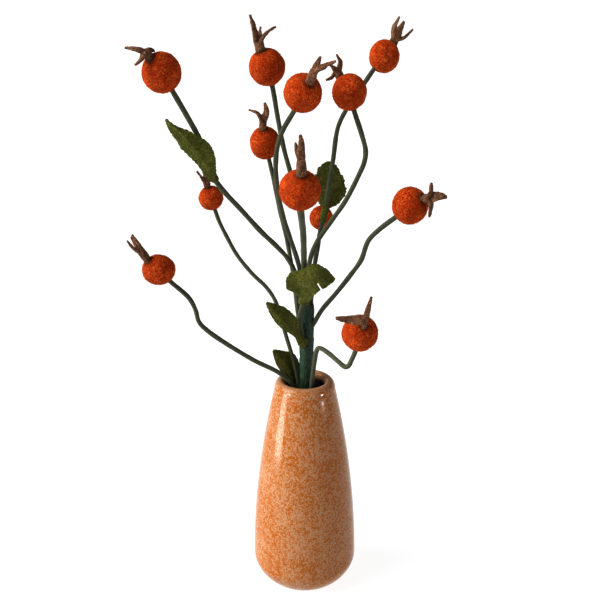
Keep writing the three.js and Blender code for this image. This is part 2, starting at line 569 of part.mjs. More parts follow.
sprig.add(meshOf(makeVase(), 'vase', FINISHES.glaze));
sprig.add(meshOf(without(makeSleeve(), wireHoles), 'stem_binding', FINISHES.tape));
for (const [name, stem] of Object.entries(STEMS)) {
  sprig.add(meshOf(makeWire(stem), name, FINISHES.wire_cover));
}
HIPS.forEach((hip, i) => {
  sprig.add(meshOf(makeBall(hip, wireHoles[i]), `hip_${i + 1}`, FINISHES.orange_felt));
  sprig.add(meshOf(makeCalyx(hip), `calyx_${i + 1}`, FINISHES.brown_felt));
});
for (const [name, leaf] of Object.entries(LEAVES)) {
  sprig.add(meshOf(makeLeaf(leaf, nearLeaves), name, FINISHES.green_felt));
}

export default sprig;
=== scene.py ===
"""A felt rose hip sprig standing in a speckled glazed bud vase.

Twelve needle-felted hips with rolled felt calyxes sit on covered wires. The wires are bound together with
tape, five felt leaves are wrapped on, and the bound stem stands in the vase. Every piece is a surface worked
out with numpy, in metres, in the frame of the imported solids.
"""

import logging
import math
from collections.abc import Sequence
from dataclasses import dataclass, field
from enum import Enum

import bpy
import numpy as np
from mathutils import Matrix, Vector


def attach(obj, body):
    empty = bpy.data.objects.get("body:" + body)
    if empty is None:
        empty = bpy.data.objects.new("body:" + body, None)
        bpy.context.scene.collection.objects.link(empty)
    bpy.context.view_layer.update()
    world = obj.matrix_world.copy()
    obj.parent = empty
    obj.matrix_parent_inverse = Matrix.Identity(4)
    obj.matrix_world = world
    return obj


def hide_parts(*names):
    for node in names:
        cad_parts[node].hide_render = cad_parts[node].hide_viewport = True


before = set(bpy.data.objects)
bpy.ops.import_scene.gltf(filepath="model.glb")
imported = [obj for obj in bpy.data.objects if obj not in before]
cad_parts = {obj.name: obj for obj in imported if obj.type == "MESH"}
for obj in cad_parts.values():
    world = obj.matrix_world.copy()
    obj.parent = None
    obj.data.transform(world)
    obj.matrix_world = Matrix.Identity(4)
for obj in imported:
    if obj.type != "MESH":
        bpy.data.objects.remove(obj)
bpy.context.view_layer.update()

Array = np.ndarray
Point = tuple[float, float, float]
Colour = tuple[float, float, float]
Socket = bpy.types.NodeSocket

log = logging.getLogger("sprig")

MM = 0.001
FULL_TURN = 2 * math.pi
HALF_TURN = math.pi
QUARTER_TURN = math.pi / 2
SPAN_SAMPLES = 24  # points worked out on each span of a route
PILE_WAVES = 40  # waves summed for the small tufts of felt
HAIR_ROOTS = 0.995  # where a ball's loose fibres start, as a share of its radius
WIRE_SEED, TAPE_SEED, LEAF_SEED = 100, 200, 300  # a piece adds its number, and a hip's seed is its number
BODY = "root"


# Shapes as arrays


@dataclass
class Surface:
    """A closed surface whose faces point outwards.

    Attributes:
        points: Corner places in metres, one row each.
        quads: Four point numbers for each four-sided face.
        triangles: Three point numbers for each triangle.
        uv: One pair for each face corner, the quads' corners first, or None.
        fibre: 1 for a point of a loose fibre and 0 elsewhere, or None.
        shade: The painted shade of each point, 1 deep in the seam between two pieces and 0 in the open, or
            None.
    """

    points: Array
    quads: Array
    triangles: Array
    uv: Array | None = None
    fibre: Array | None = None
    shade: Array | None = None

    def marks(self) -> Array:
        """Gives the fibre mark of every point, 0 where none is set."""
        return np.zeros(len(self.points)) if self.fibre is None else self.fibre


def joined(surfaces: Sequence[Surface]) -> Surface:
    """Puts surfaces side by side into one, without welding them.

    Args:
        surfaces: The surfaces, of which none keeps its corner coordinates.

    Returns:
        One surface with the points of all, and the fibre marks of each.
    """
    starts = np.cumsum([0] + [len(surface.points) for surface in surfaces])
    return Surface(
        points=np.vstack([surface.points for surface in surfaces]),
        quads=np.vstack([surface.quads + start for surface, start in zip(surfaces, starts)]),
        triangles=np.vstack([surface.triangles + start for surface, start in zip(surfaces, starts)]),
        fibre=np.concatenate([surface.marks() for surface in surfaces]),
    )


def unit(vectors: Array) -> Array:
    """Scales each row to length one."""
    return vectors / np.maximum(np.linalg.norm(vectors, axis=-1, keepdims=True), 1e-12)


def travelled(line: Array) -> Array:
    """Gives the length along a line of points up to each of them."""
    return np.concatenate([[0.0], np.cumsum(np.linalg.norm(np.diff(line, axis=0), axis=1))])


def even_points(line: Array, count: int) -> Array:
    """Places points along a line, the same distance apart, from its start to its end.

    Args:
        line: Points in order, one row each.
        count: The number of points wanted.

    Returns:
        The new points, one row each.
    """
    length = travelled(line)
    where = np.linspace(0.0, length[-1], count)
    return np.stack([np.interp(where, length, line[:, axis]) for axis in range(3)], axis=1)


def even_steps(line: Array, step: float) -> Array:
    """Places points along a line about a step apart, in metres, from its start to its end."""
    return even_points(line, max(3, round(travelled(line)[-1] / step) + 1))


def smooth_route(route: Sequence[Point], step: float) -> Array:
    """Runs a smooth line through given points.

    Between two knots the line is the cubic that leaves and arrives with centripetal Catmull-Rom tangents:
    each span counts as the root of its length, and the route is mirrored past its two ends.

    Args:
        route: Knots in millimetres.
        step: The wanted step in metres.

    Returns:
        Points in metres at even steps.
    """
    knots = np.array(route, float) * MM
    padded = np.vstack([2 * knots[0] - knots[1], knots, 2 * knots[-1] - knots[-2]])
    spans = np.sqrt(np.linalg.norm(np.diff(padded, axis=0), axis=1))[:, None]
    before, here, after = spans[:-2], spans[1:-1], spans[2:]
    p0, p1, p2, p3 = padded[:-3], padded[1:-2], padded[2:-1], padded[3:]
    leave = here * ((p1 - p0) / before - (p2 - p0) / (before + here) + (p2 - p1) / here)
    arrive = here * ((p2 - p1) / here - (p3 - p1) / (here + after) + (p3 - p2) / after)
    p1, p2, leave, arrive = (part[:, None, :] for part in (p1, p2, leave, arrive))
    t = np.linspace(0.0, 1.0, SPAN_SAMPLES, endpoint=False)[None, :, None]
    curve = (
        p1 + leave * t + (3 * (p2 - p1) - 2 * leave - arrive) * t**2
        + (2 * (p1 - p2) + leave + arrive) * t**3
    )
    return even_steps(np.vstack([curve.reshape(-1, 3), knots[-1:]]), step)


def path_frames(line: Array) -> tuple[Array, Array, Array]:
    """Sets a right-handed frame at each point of a line.

    The first side vector is square to the line and to the direction that the line runs along least, so the
    frames never twist sharply.

    Args:
        line: Points in order, one row each.

    Returns:
        The unit vectors along the line, to its side, and square to both.
    """
    along = unit(np.gradient(line, axis=0))
    quiet = np.linalg.svd(along, full_matrices=False)[2][-1]
    side = unit(np.cross(quiet, along))
    return along, side, np.cross(along, side)


def around(count: int) -> Array:
    """Gives the angles of a number of points spaced evenly round a circle."""
    return np.arange(count) * FULL_TURN / count


def circle(side: Array, up: Array, sides: int) -> Array:
    """Gives a unit circle for each pair of vectors: cos a of the side vector and sin a of the up vector."""
    turn = around(sides)
    return np.cos(turn)[None, :, None] * side[:, None] + np.sin(turn)[None, :, None] * up[:, None]


def squared(wave: Array, power: float) -> Array:
    """Raises a wave's size to a power and keeps its sign. A power below 1 squares a round section."""
    return np.sign(wave) * np.abs(wave) ** power


def skinned(grid: Array, first: Array, last: Array, travel: Array | None = None) -> Surface:
    """Skins rings of points and closes each end on its pole.

    Each ring turns right-handed round the way from the first ring to the last, so the faces point outwards.

    Args:
        grid: Places, as rings by sides by 3.
        first: The pole before the first ring.
        last: The pole past the last ring.
        travel: The second corner coordinate of each ring, or None for no corner coordinates.

    Returns:
        The closed surface.
    """
    rings, sides = grid.shape[:2]
    ring, side = np.meshgrid(np.arange(rings - 1), np.arange(sides), indexing="ij")
    turn = (side + 1) % sides
    low, high = ring * sides, (ring + 1) * sides
    quads = np.stack([low + side, low + turn, high + turn, high + side], -1)
    here, after = np.arange(sides), (np.arange(sides) + 1) % sides
    foot, head = rings * sides, rings * sides + 1
    end = (rings - 1) * sides
    fans = [
        np.stack([np.full(sides, foot), after, here], -1),
        np.stack([np.full(sides, head), end + here, end + after], -1),
    ]
    surface = Surface(np.vstack([grid.reshape(-1, 3), first, last]), quads.reshape(-1, 4), np.vstack(fans))
    if travel is not None:
        left, right = side / sides, (side + 1) / sides
        low, high = travel[ring], travel[ring + 1]
        corners = np.stack([left, low, right, low, right, high, left, high], -1).reshape(-1, 2)
        for order, level in (((here + 1.0, here), travel[0]), ((here, here + 1.0), travel[-1])):
            across = np.stack([here + 0.5, *order], -1) / sides
            fan = np.stack([across, np.full_like(across, level)], -1).reshape(-1, 2)
            corners = np.vstack([corners, fan])
        surface.uv = corners
    return surface


def tube(line: Array, radius: Array | float, sides: int) -> Surface:
    """Carries a circle along a line.

    A point is the line's point plus radius times (cos a) of the side vector and (sin a) of the up vector.

    Args:
        line: Points in order, one row each, in metres.
        radius: One radius, or one for each point.
        sides: Points round the circle.

    Returns:
        The closed tube, with the length travelled as its second corner coordinate.
    """
    _, side, up = path_frames(line)
    reach = np.atleast_1d(radius).reshape(-1, 1, 1)
    return skinned(line[:, None] + reach * circle(side, up, sides), line[0], line[-1], travelled(line))


def lumps(points: Array, rng: np.random.Generator, size: float, waves: int = 22) -> Array:
    """Gives soft random lumps, the same in every direction.

    The value is a sum of sine waves through space in random directions, each about a lump long.

    Args:
        points: Places in metres, one row each.
        rng: The source of the waves.
        size: The length of a lump and its hollow, in metres.
        waves: The number of waves summed.

    Returns:
        A value for each point, mostly between -1 and 1.
    """
    ways = unit(rng.normal(size=(waves, 3))) * (FULL_TURN / size) * rng.uniform(0.7, 1.4, (waves, 1))
    return np.sin(points @ ways.T + rng.uniform(0, FULL_TURN, waves)).sum(axis=1) / math.sqrt(waves)


def fibres(
    roots: Array, normals: Array, rng: np.random.Generator, length: float, thickness: float,
) -> Surface:
    """Grows short curved fibres that mostly lie along a felt surface.

    Each fibre is a three-sided spike in two bent lengths: it leaves its root in a random slant, then turns
    another way, and ends in a point.

    Args:
        roots: Where the fibres start, one row each.
        normals: The surface's unit normal at each root.
        rng: The source of slants and lengths.
        length: The mean length in metres.
        thickness: The width of a fibre at its root in metres.

    Returns:
        All fibres as one surface, marked as fibre.
    """
    count = len(roots)
    slant = unit(np.cross(normals, rng.normal(size=(count, 3))))
    bend = unit(np.cross(normals, rng.normal(size=(count, 3))))
    reach = length * rng.uniform(0.5, 1.5, (count, 1))
    rise = rng.uniform(0.15, 0.75, (count, 1))
    middle = roots + reach * (0.45 * slant + rise * 0.5 * normals)
    tip = middle + reach * (0.35 * slant + 0.3 * bend + rng.uniform(-0.25, 0.5, (count, 1)) * normals)
    along = unit(tip - roots)
    side = unit(np.cross(along, normals + 0.01 * slant))
    up = np.cross(along, side)
    ring = circle(side, up, 3)
    sunk = (roots - normals * thickness)[:, None] + ring * thickness / 2
    points = np.concatenate([sunk, middle[:, None] + ring * thickness / 2.6, tip[:, None]], axis=1)
    per_fibre = points.shape[1]
    first = (np.arange(count) * per_fibre)[:, None, None]
    quads = first + np.array([[0, 1, 4, 3], [1, 2, 5, 4], [2, 0, 3, 5]])[None]
    triangles = first + np.array([[0, 2, 1], [3, 4, 6], [4, 5, 6], [5, 3, 6]])[None]
    marks = np.ones(count * per_fibre)
    return Surface(points.reshape(-1, 3), quads.reshape(-1, 4), triangles.reshape(-1, 3), fibre=marks)


# Meshes


def mesh_of(name: str, surface: Surface) -> bpy.types.Mesh:
    """Writes a surface into a smooth-shaded mesh.

    Args:
        name: The mesh's name.
        surface: The surface, in metres.

    Returns:
        The mesh, with its corner coordinates, fibre marks and painted shade where the surface has them.
    """
    mesh = bpy.data.meshes.new(name)
    corners = np.concatenate([surface.quads.ravel(), surface.triangles.ravel()]).astype(np.int32)
    sizes = np.repeat([4, 3], [len(surface.quads), len(surface.triangles)])
    mesh.vertices.add(len(surface.points))
    mesh.vertices.foreach_set("co", surface.points.astype(np.float32).ravel())
    mesh.loops.add(len(corners))
    mesh.loops.foreach_set("vertex_index", corners)
    mesh.polygons.add(len(sizes))
    mesh.polygons.foreach_set("loop_start", np.concatenate([[0], np.cumsum(sizes)[:-1]]).astype(np.int32))
    mesh.polygons.foreach_set("use_smooth", np.ones(len(sizes), bool))
    mesh.update(calc_edges=True)
    if surface.uv is not None:
        mesh.uv_layers.new(name="UVMap").uv.foreach_set("vector", surface.uv.astype(np.float32).ravel())
    for mark, values in (("fibre", surface.fibre), ("shade", surface.shade)):
        if values is not None:
            mesh.attributes.new(mark, "FLOAT", "POINT").data.foreach_set("value", values.astype(np.float32))
    return mesh


def placed(name: str, data: bpy.types.ID) -> bpy.types.Object:
    """Puts a new object into the scene.

    Args:
        name: The object's name.
        data: Its mesh, light or camera.

    Returns:
        The object.
    """
    made = bpy.data.objects.new(name, data)
    bpy.context.scene.collection.objects.link(made)
    return made


def piece_of(name: str, surface: Surface, node: str, finish: "Finish") -> None:
    """Makes a finished piece that stands for one of the frame's solids.

    Args:
        name: The piece's name.
        surface: Its surface, in metres in the frame.
        node: The solid that it replaces.
        finish: The finish that it wears.
    """
    mesh = mesh_of(name, surface)
    mesh.materials.append(finish.material())
    piece = placed(name, mesh)
    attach(piece, BODY)
    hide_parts(node)
    log.info("%s: %d points, %d faces", name, len(surface.points), len(mesh.polygons))


def fused(surfaces: Sequence[Surface], voxel: float, rounds: int) -> Surface:
    """Melts overlapping surfaces into one skin, as felt is where it is rolled or stitched together.

    Args:
        surfaces: Closed surfaces that overlap.
        voxel: The grid that the skin is read on, in metres.
        rounds: How many times the skin is smoothed.

    Returns:
        One closed surface.
    """
    body = placed("felt_blank", mesh_of("felt_blank", joined(surfaces)))
    melt = body.modifiers.new("Melt", "REMESH")
    melt.mode = "VOXEL"
    melt.voxel_size = voxel
    soften = body.modifiers.new("Soften", "SMOOTH")
    soften.factor = 0.5
    soften.iterations = rounds
    skin = bpy.data.meshes.new_from_object(body.evaluated_get(bpy.context.evaluated_depsgraph_get()))
    skin.calc_loop_triangles()
    points = np.zeros(len(skin.vertices) * 3, np.float32)
    skin.vertices.foreach_get("co", points)
    triangles = np.zeros(len(skin.loop_triangles) * 3, np.int32)
    skin.loop_triangles.foreach_get("vertices", triangles)
    blank = body.data
    bpy.data.objects.remove(body)
    bpy.data.meshes.remove(blank)
    bpy.data.meshes.remove(skin)
    return Surface(points.reshape(-1, 3).astype(float), np.zeros((0, 4), int), triangles.reshape(-1, 3))


def point_normals(surface: Surface) -> Array:
    """Gives each point the mean direction of the triangles round it, larger ones counting for more.

    Args:
        surface: A surface of triangles.

    Returns:
        A unit vector for each point.
    """
    a, b, c = (surface.points[surface.triangles[:, corner]] for corner in range(3))
    facing = np.cross(b - a, c - a)
    total = np.zeros_like(surface.points)
    for corner in range(3):
        np.add.at(total, surface.triangles[:, corner], facing)
    return unit(total)


@dataclass(frozen=True)
class Nap:
    """How a felt surface is roughened.

    Attributes:
        lump: Size of the larger lumps in metres.
        lump_depth: Their height in metres.
        pile: Size of the small tufts in metres.
        pile_depth: Their height in metres.
        fibres_per_mm2: Loose fibres on each square millimetre.
        fibre_length: Their mean length in metres.
        fibre_thickness: Their width in metres.
    """

    lump: float
    lump_depth: float
    pile: float
    pile_depth: float
    fibres_per_mm2: float
    fibre_length: float
    fibre_thickness: float = 0.07 * MM

    def raised(self, points: Array, normals: Array, rng: np.random.Generator) -> Array:
        """Moves points along their normals by the lumps and the tufts.

        Args:
            points: Places in metres.
            normals: A unit normal for each.
            rng: The source of the waves.

        Returns:
            The new places.
        """
        height = self.lump_depth * lumps(points, rng, self.lump)
        height = height + self.pile_depth * lumps(points, rng, self.pile, waves=PILE_WAVES)
        return points + normals * height[:, None]

    def grown(self, skin: Surface, rng: np.random.Generator) -> Surface:
        """Roughens a skin and grows its loose fibres.

        Args:
            skin: A closed surface of triangles.
            rng: The source of the waves and fibres.

        Returns:
            The skin and its fibres as one surface.
        """
        normals = point_normals(skin)
        rough = Surface(self.raised(skin.points, normals, rng), skin.quads, skin.triangles)
        a, b, c = (rough.points[rough.triangles[:, corner]] for corner in range(3))
        areas = np.linalg.norm(np.cross(b - a, c - a), axis=1) / 2
        count = round(areas.sum() / MM**2 * self.fibres_per_mm2)
        chosen = rng.choice(len(areas), count, p=areas / areas.sum())
        share = rng.dirichlet((1.0, 1.0, 1.0), count)
        roots = share[:, :1] * a[chosen] + share[:, 1:2] * b[chosen] + share[:, 2:] * c[chosen]
        facing = unit(np.cross(b - a, c - a)[chosen])
        hair = fibres(roots, facing, rng, self.fibre_length, self.fibre_thickness)
        return joined([rough, hair])


# Finishes


class Slot(Enum):
    """The record's material slots."""

    GLAZE = "glaze"
    ORANGE_FELT = "orange_felt"
    BROWN_FELT = "brown_felt"
    GREEN_FELT = "green_felt"
    WIRE_COVER = "wire_cover"
    TAPE = "tape"


def paint(red: int, green: int, blue: int) -> Colour:
    """Turns a display colour into linear light.

    Args:
        red: The red share, 0 to 255.
        green: The green share, likewise.
        blue: The blue share, likewise.

    Returns:
        The colour as shares of 1.
    """
    share = np.array([red, green, blue]) / 255
    linear = np.where(share <= 0.04045, share / 12.92, ((share + 0.055) / 1.055) ** 2.4)
    return tuple(float(value) for value in linear)


class Board:
    """The node tree of one material, with short calls that add and link nodes."""

    def __init__(self, name: str) -> None:
        """Starts a material that has only its shader and its output.

        Args:
            name: The material's name.
        """
        self.made = bpy.data.materials.new(name)
        self.made.use_nodes = True
        self.tree = self.made.node_tree
        self.shader = self.tree.nodes["Principled BSDF"]

    def add(
        self, kind: str, inputs: dict[str | int, object] | None = None, **settings: object,
    ) -> bpy.types.Node:
        """Adds a node.

        Args:
            kind: The node's type name without its ShaderNode prefix.
            inputs: Values or sockets for its inputs, by name or number.
            **settings: Values for its own properties.

        Returns:
            The node.
        """
        node = self.tree.nodes.new("ShaderNode" + kind)
        for name, value in settings.items():
            setattr(node, name, value)
        for name, value in (inputs or {}).items():
            self.set(node.inputs[name], value)
        return node

    def set(self, target: Socket, value: object) -> None:
        """Links a socket to an input, or sets the input's own value.

        Args:
            target: The input.
            value: A socket, a number, or a colour of three shares.
        """
        if isinstance(value, Socket):
            self.tree.links.new(value, target)
        elif isinstance(value, tuple) and target.type == "RGBA":
            target.default_value = (*value, 1.0)
        else:
            target.default_value = value

    def wear(self, **values: object) -> bpy.types.Material:
        """Sets the shader's inputs.

        Args:
            **values: Values or sockets, by the input's name with underscores for spaces.

        Returns:
            The material.
        """
        for name, value in values.items():
            self.set(self.shader.inputs[name.replace("_", " ")], value)
        return self.made

    def place(self) -> Socket:
        """Gives the place in the frame, in metres."""
        return self.add("TexCoord").outputs["Object"]

    def noise(self, where: Socket, grain: float, detail: float = 2.0, distortion: float = 0.0) -> Socket:
        """Gives cloudy noise.

        Args:
            where: The places that it is read at, in metres.
            grain: About how far across a cloud is, in metres.
            detail: How many times finer clouds are added to it.
            distortion: How far the clouds are bent.

        Returns:
            A value of 0 to 1.
        """
        return self.add("TexNoise", {
            "Vector": where, "Scale": 1 / grain, "Detail": detail, "Roughness": 0.6, "Distortion": distortion,
        }).outputs["Fac"]

    def sum(self, kind: str, a: object, b: object) -> Socket:
        """Works out one step of arithmetic, such as ADD or MULTIPLY."""
        return self.add("Math", {0: a, 1: b}, operation=kind).outputs[0]

    def span(
        self, value: Socket, low: float, high: float, to_low: float = 0.0, to_high: float = 1.0,
    ) -> Socket:
        """Turns the stretch from low to high into a smooth step from to_low to to_high."""
        inputs = {"Value": value, "From Min": low, "From Max": high, "To Min": to_low, "To Max": to_high}
        return self.add("MapRange", inputs, interpolation_type="SMOOTHSTEP").outputs["Result"]

    def blend(self, share: Socket | float, a: object, b: object, kind: str = "MIX") -> Socket:
        """Mixes two colours.

        Args:
            share: How much of the second one is taken.
            a: The first colour.
            b: The second colour.
            kind: The kind of mix.

        Returns:
            The mixed colour.
        """
        node = self.add("Mix", data_type="RGBA", blend_type=kind)
        self.set(node.inputs["Factor"], share)
        self.set(node.inputs["A"], a)
        self.set(node.inputs["B"], b)
        return node.outputs["Result"]

    def thread(self, value: Socket, width: float) -> Socket:
        """Draws thin curly threads where noise crosses its middle, 1 on the thread and 0 past its width."""
        away = self.add("Math", {0: self.sum("SUBTRACT", value, 0.5)}, operation="ABSOLUTE").outputs[0]
        return self.span(away, 0.0, width, to_low=1.0, to_high=0.0)

    def bump(self, height: Socket, depth: float, strength: float) -> Socket:
        """Tilts the light by a height, depth metres from 0 to 1."""
        return self.add("Bump", {"Height": height, "Distance": depth, "Strength": strength}).outputs["Normal"]


class Finish:
    """A finish that makes its material once and then hands it out.

    Attributes:
        slot: The record's slot.
    """

    slot: Slot

    @property
    def title(self) -> str:
        """Names the material."""
        return self.slot.value + "_surface"

    def make(self) -> bpy.types.Material:
        """Makes the material."""
        raise NotImplementedError

    def material(self) -> bpy.types.Material:
        """Gives the material, which is made on the first call."""
        return bpy.data.materials.get(self.title) or self.make()


@dataclass(frozen=True)
class Felt(Finish):
    """Matted wool: short curly fibres of slightly different tones, with soft light along its edges.

    Attributes:
        slot: The record's slot.
        deep: Colour of the darker fibres, and painted shade between the fibres and in the creases.
        body: Colour of most fibres.
        pale: Colour of the lightest fibres.
        hair: Colour of the loose fibres that stand out.
        grain: Width of a tuft in metres.
        sheen: Strength of the soft light along the edges.
    """

    slot: Slot
    deep: Colour
    body: Colour
    pale: Colour
    hair: Colour
    grain: float
    sheen: float

    def make(self) -> bpy.types.Material:
        """Mixes tuft, thread and tone noise into colour and bump, with painted shade in creases and seams.

        Returns:
            The material.
        """
        board = Board(self.title)
        place = board.place()
        tufts = board.noise(place, self.grain, distortion=1.2)
        creases = board.thread(board.noise(place, self.grain * 3.2, distortion=1.6), width=0.06)
        curls = board.thread(board.noise(place, self.grain * 2.6, detail=1.0, distortion=1.8), width=0.08)
        tone = board.noise(place, 6 * MM)
        # Lower tufts take the deep colour: the fibres' own tones, with painted shade between the tufts.
        colour = board.blend(board.span(tufts, 0.38, 0.60), self.deep, self.body)
        colour = board.blend(board.sum("MULTIPLY", curls, 0.44), colour, self.pale)
        # Painted shade: the creases, which the bump also sinks, are darkened towards the deep colour.
        colour = board.blend(board.sum("MULTIPLY", creases, 0.35), colour, self.deep)
        colour = board.blend(board.span(tone, 0.35, 0.65, to_high=0.5), colour, self.deep)
        loose = board.add("Attribute", attribute_name="fibre").outputs["Fac"]
        colour = board.blend(board.sum("MULTIPLY", loose, 0.6), colour, self.hair)
        # Painted shade: darker where a calyx and its ball meet, by the shade mark of each point.
        seam = board.add("Attribute", attribute_name="shade").outputs["Fac"]
        colour = board.blend(board.sum("MULTIPLY", seam, 0.8), colour, (0.26, 0.20, 0.20), "MULTIPLY")
        height = board.sum("SUBTRACT", board.sum("ADD", tufts, board.sum("MULTIPLY", curls, 0.4)), creases)
        return board.wear(
            Base_Color=colour, Roughness=0.95, Specular_IOR_Level=0.05,
            Sheen_Weight=self.sheen, Sheen_Roughness=0.55, Sheen_Tint=self.pale,
            Normal=board.bump(height, depth=0.35 * MM, strength=0.7),
        )


@dataclass(frozen=True)
class WoundCover(Finish):
    """The fine yarn that covers the wires, wound in a close spiral.

    Attributes:
        dark: Colour in the grooves, painted there as shade, and of the darker grit.
        light: Colour on the turns.
        pitch: Length of one turn along the wire in metres.
        slot: The record's slot.
    """

    dark: Colour = paint(50, 55, 38)
    light: Colour = paint(88, 92, 66)
    pitch: float = 0.7 * MM
    slot: Slot = Slot.WIRE_COVER

    def make(self) -> bpy.types.Material:
        """Runs a spiral of ridges along the wire's own coordinates, over slow changes of tone.

        Returns:
            The material.
        """
        board = Board(self.title)
        place = board.place()
        along = board.add("SeparateXYZ", {0: board.add("UVMap").outputs["UV"]})
        turns = board.sum("ADD", board.sum("DIVIDE", along.outputs["Y"], self.pitch), along.outputs["X"])
        ridge = board.add("Math", {0: board.sum("MULTIPLY", turns, FULL_TURN)}, operation="SINE").outputs[0]
        grit = board.noise(place, 0.5 * MM, detail=4.0, distortion=0.6)
        tone = board.noise(place, 9 * MM)
        height = board.sum("ADD", board.sum("MULTIPLY", ridge, 0.3), grit)
        # Painted shade: the spiral's grooves, which the bump also sinks, take the dark colour, over the
        # grit's own tones.
        colour = board.blend(board.span(height, 0.1, 0.95), self.dark, self.light)
        colour = board.blend(board.span(tone, 0.35, 0.65, to_high=0.45), colour, self.dark)
        return board.wear(
            Base_Color=colour, Roughness=0.72, Specular_IOR_Level=0.2, Sheen_Weight=0.08,
            Sheen_Roughness=0.4, Normal=board.bump(height, depth=0.12 * MM, strength=0.7),
        )


@dataclass(frozen=True)
class CrepeTape(Finish):
    """Dark waxed paper tape, finely creased along the stem.

    Attributes:
        dark: Colour in the creases and overlaps, painted in the creases as shade.
        light: Colour of the stretched paper.
        slot: The record's slot.
    """

    dark: Colour = paint(24, 40, 26)
    light: Colour = paint(42, 74, 52)
    slot: Slot = Slot.TAPE

    def make(self) -> bpy.types.Material:
        """Stretches noise along the stem for the creases.

        Returns:
            The material.
        """
        board = Board(self.title)
        place = board.place()
        long = board.add("Mapping", {"Vector": place, "Scale": (1.0, 1.0, 0.22)}).outputs["Vector"]
        creases = board.noise(long, 0.6 * MM, detail=4.0, distortion=0.8)
        tone = board.noise(place, 5 * MM)
        # Painted shade: the creases, which the bump also sinks, take the dark colour.
        colour = board.blend(board.span(creases, 0.35, 0.65), self.dark, self.light)
        colour = board.blend(board.span(tone, 0.35, 0.7, to_high=0.6), colour, self.dark)
        return board.wear(
            Base_Color=colour, Roughness=0.55, Specular_IOR_Level=0.2,
            Normal=board.bump(creases, depth=0.25 * MM, strength=0.8),
        )


@dataclass(frozen=True)
class SpeckledGlaze(Finish):
    """A clear glossy glaze over a crawled pattern of orange on a pale pinkish ground.

    Attributes:
        ground: The pale ground.
        orange: The crawled orange.
        bright: The most solid orange.
        lip: The bare brownish lip where the glaze runs thin.
        inside: The dark glaze inside.
        lip_stretch: Where the lip's tone starts and is full, as metres climbed from the middle of the foot.
        inside_stretch: The same for the inside's tone.
        slot: The record's slot.
    """

    ground: Colour = paint(172, 134, 102)
    orange: Colour = paint(154, 86, 5)
    bright: Colour = paint(182, 96, 2)
    lip: Colour = paint(156, 118, 88)
    # inside: The dark colour inside.
    inside: Colour = paint(44, 34, 42)
    lip_stretch: tuple[float, float] = (158.0 * MM, 161.5 * MM)
    inside_stretch: tuple[float, float] = (165.0 * MM, 169.0 * MM)
    slot: Slot = Slot.GLAZE

    def make(self) -> bpy.types.Material:
        """Draws the crawled net from warped noise, gives the lip its own tone and darkens the inside.

        Returns:
            The material.
        """
        board = Board(self.title)
        place = board.place()
        worms = board.noise(place, 1.2 * MM, distortion=1.0)
        patches = board.noise(place, 16 * MM)
        dots = board.noise(place, 0.8 * MM, distortion=0.5)
        level = board.sum("ADD", worms, board.span(patches, 0.3, 0.7, to_low=-0.05, to_high=0.02))
        colour = board.blend(board.span(level, 0.46, 0.53), self.ground, self.orange)
        colour = board.blend(board.span(dots, 0.56, 0.66), colour, self.bright)
        climbed = board.add("SeparateXYZ", {0: board.add("UVMap").outputs["UV"]}).outputs["Y"]
        colour = board.blend(board.span(climbed, *self.lip_stretch, to_high=0.7), colour, self.lip)
        colour = board.blend(board.span(climbed, *self.inside_stretch), colour, self.inside)
        return board.wear(
            Base_Color=colour, Roughness=0.15, Specular_IOR_Level=0.17,
            Normal=board.bump(board.noise(place, 2.5 * MM, detail=1.0), depth=0.05 * MM, strength=0.5),
        )


# Pieces


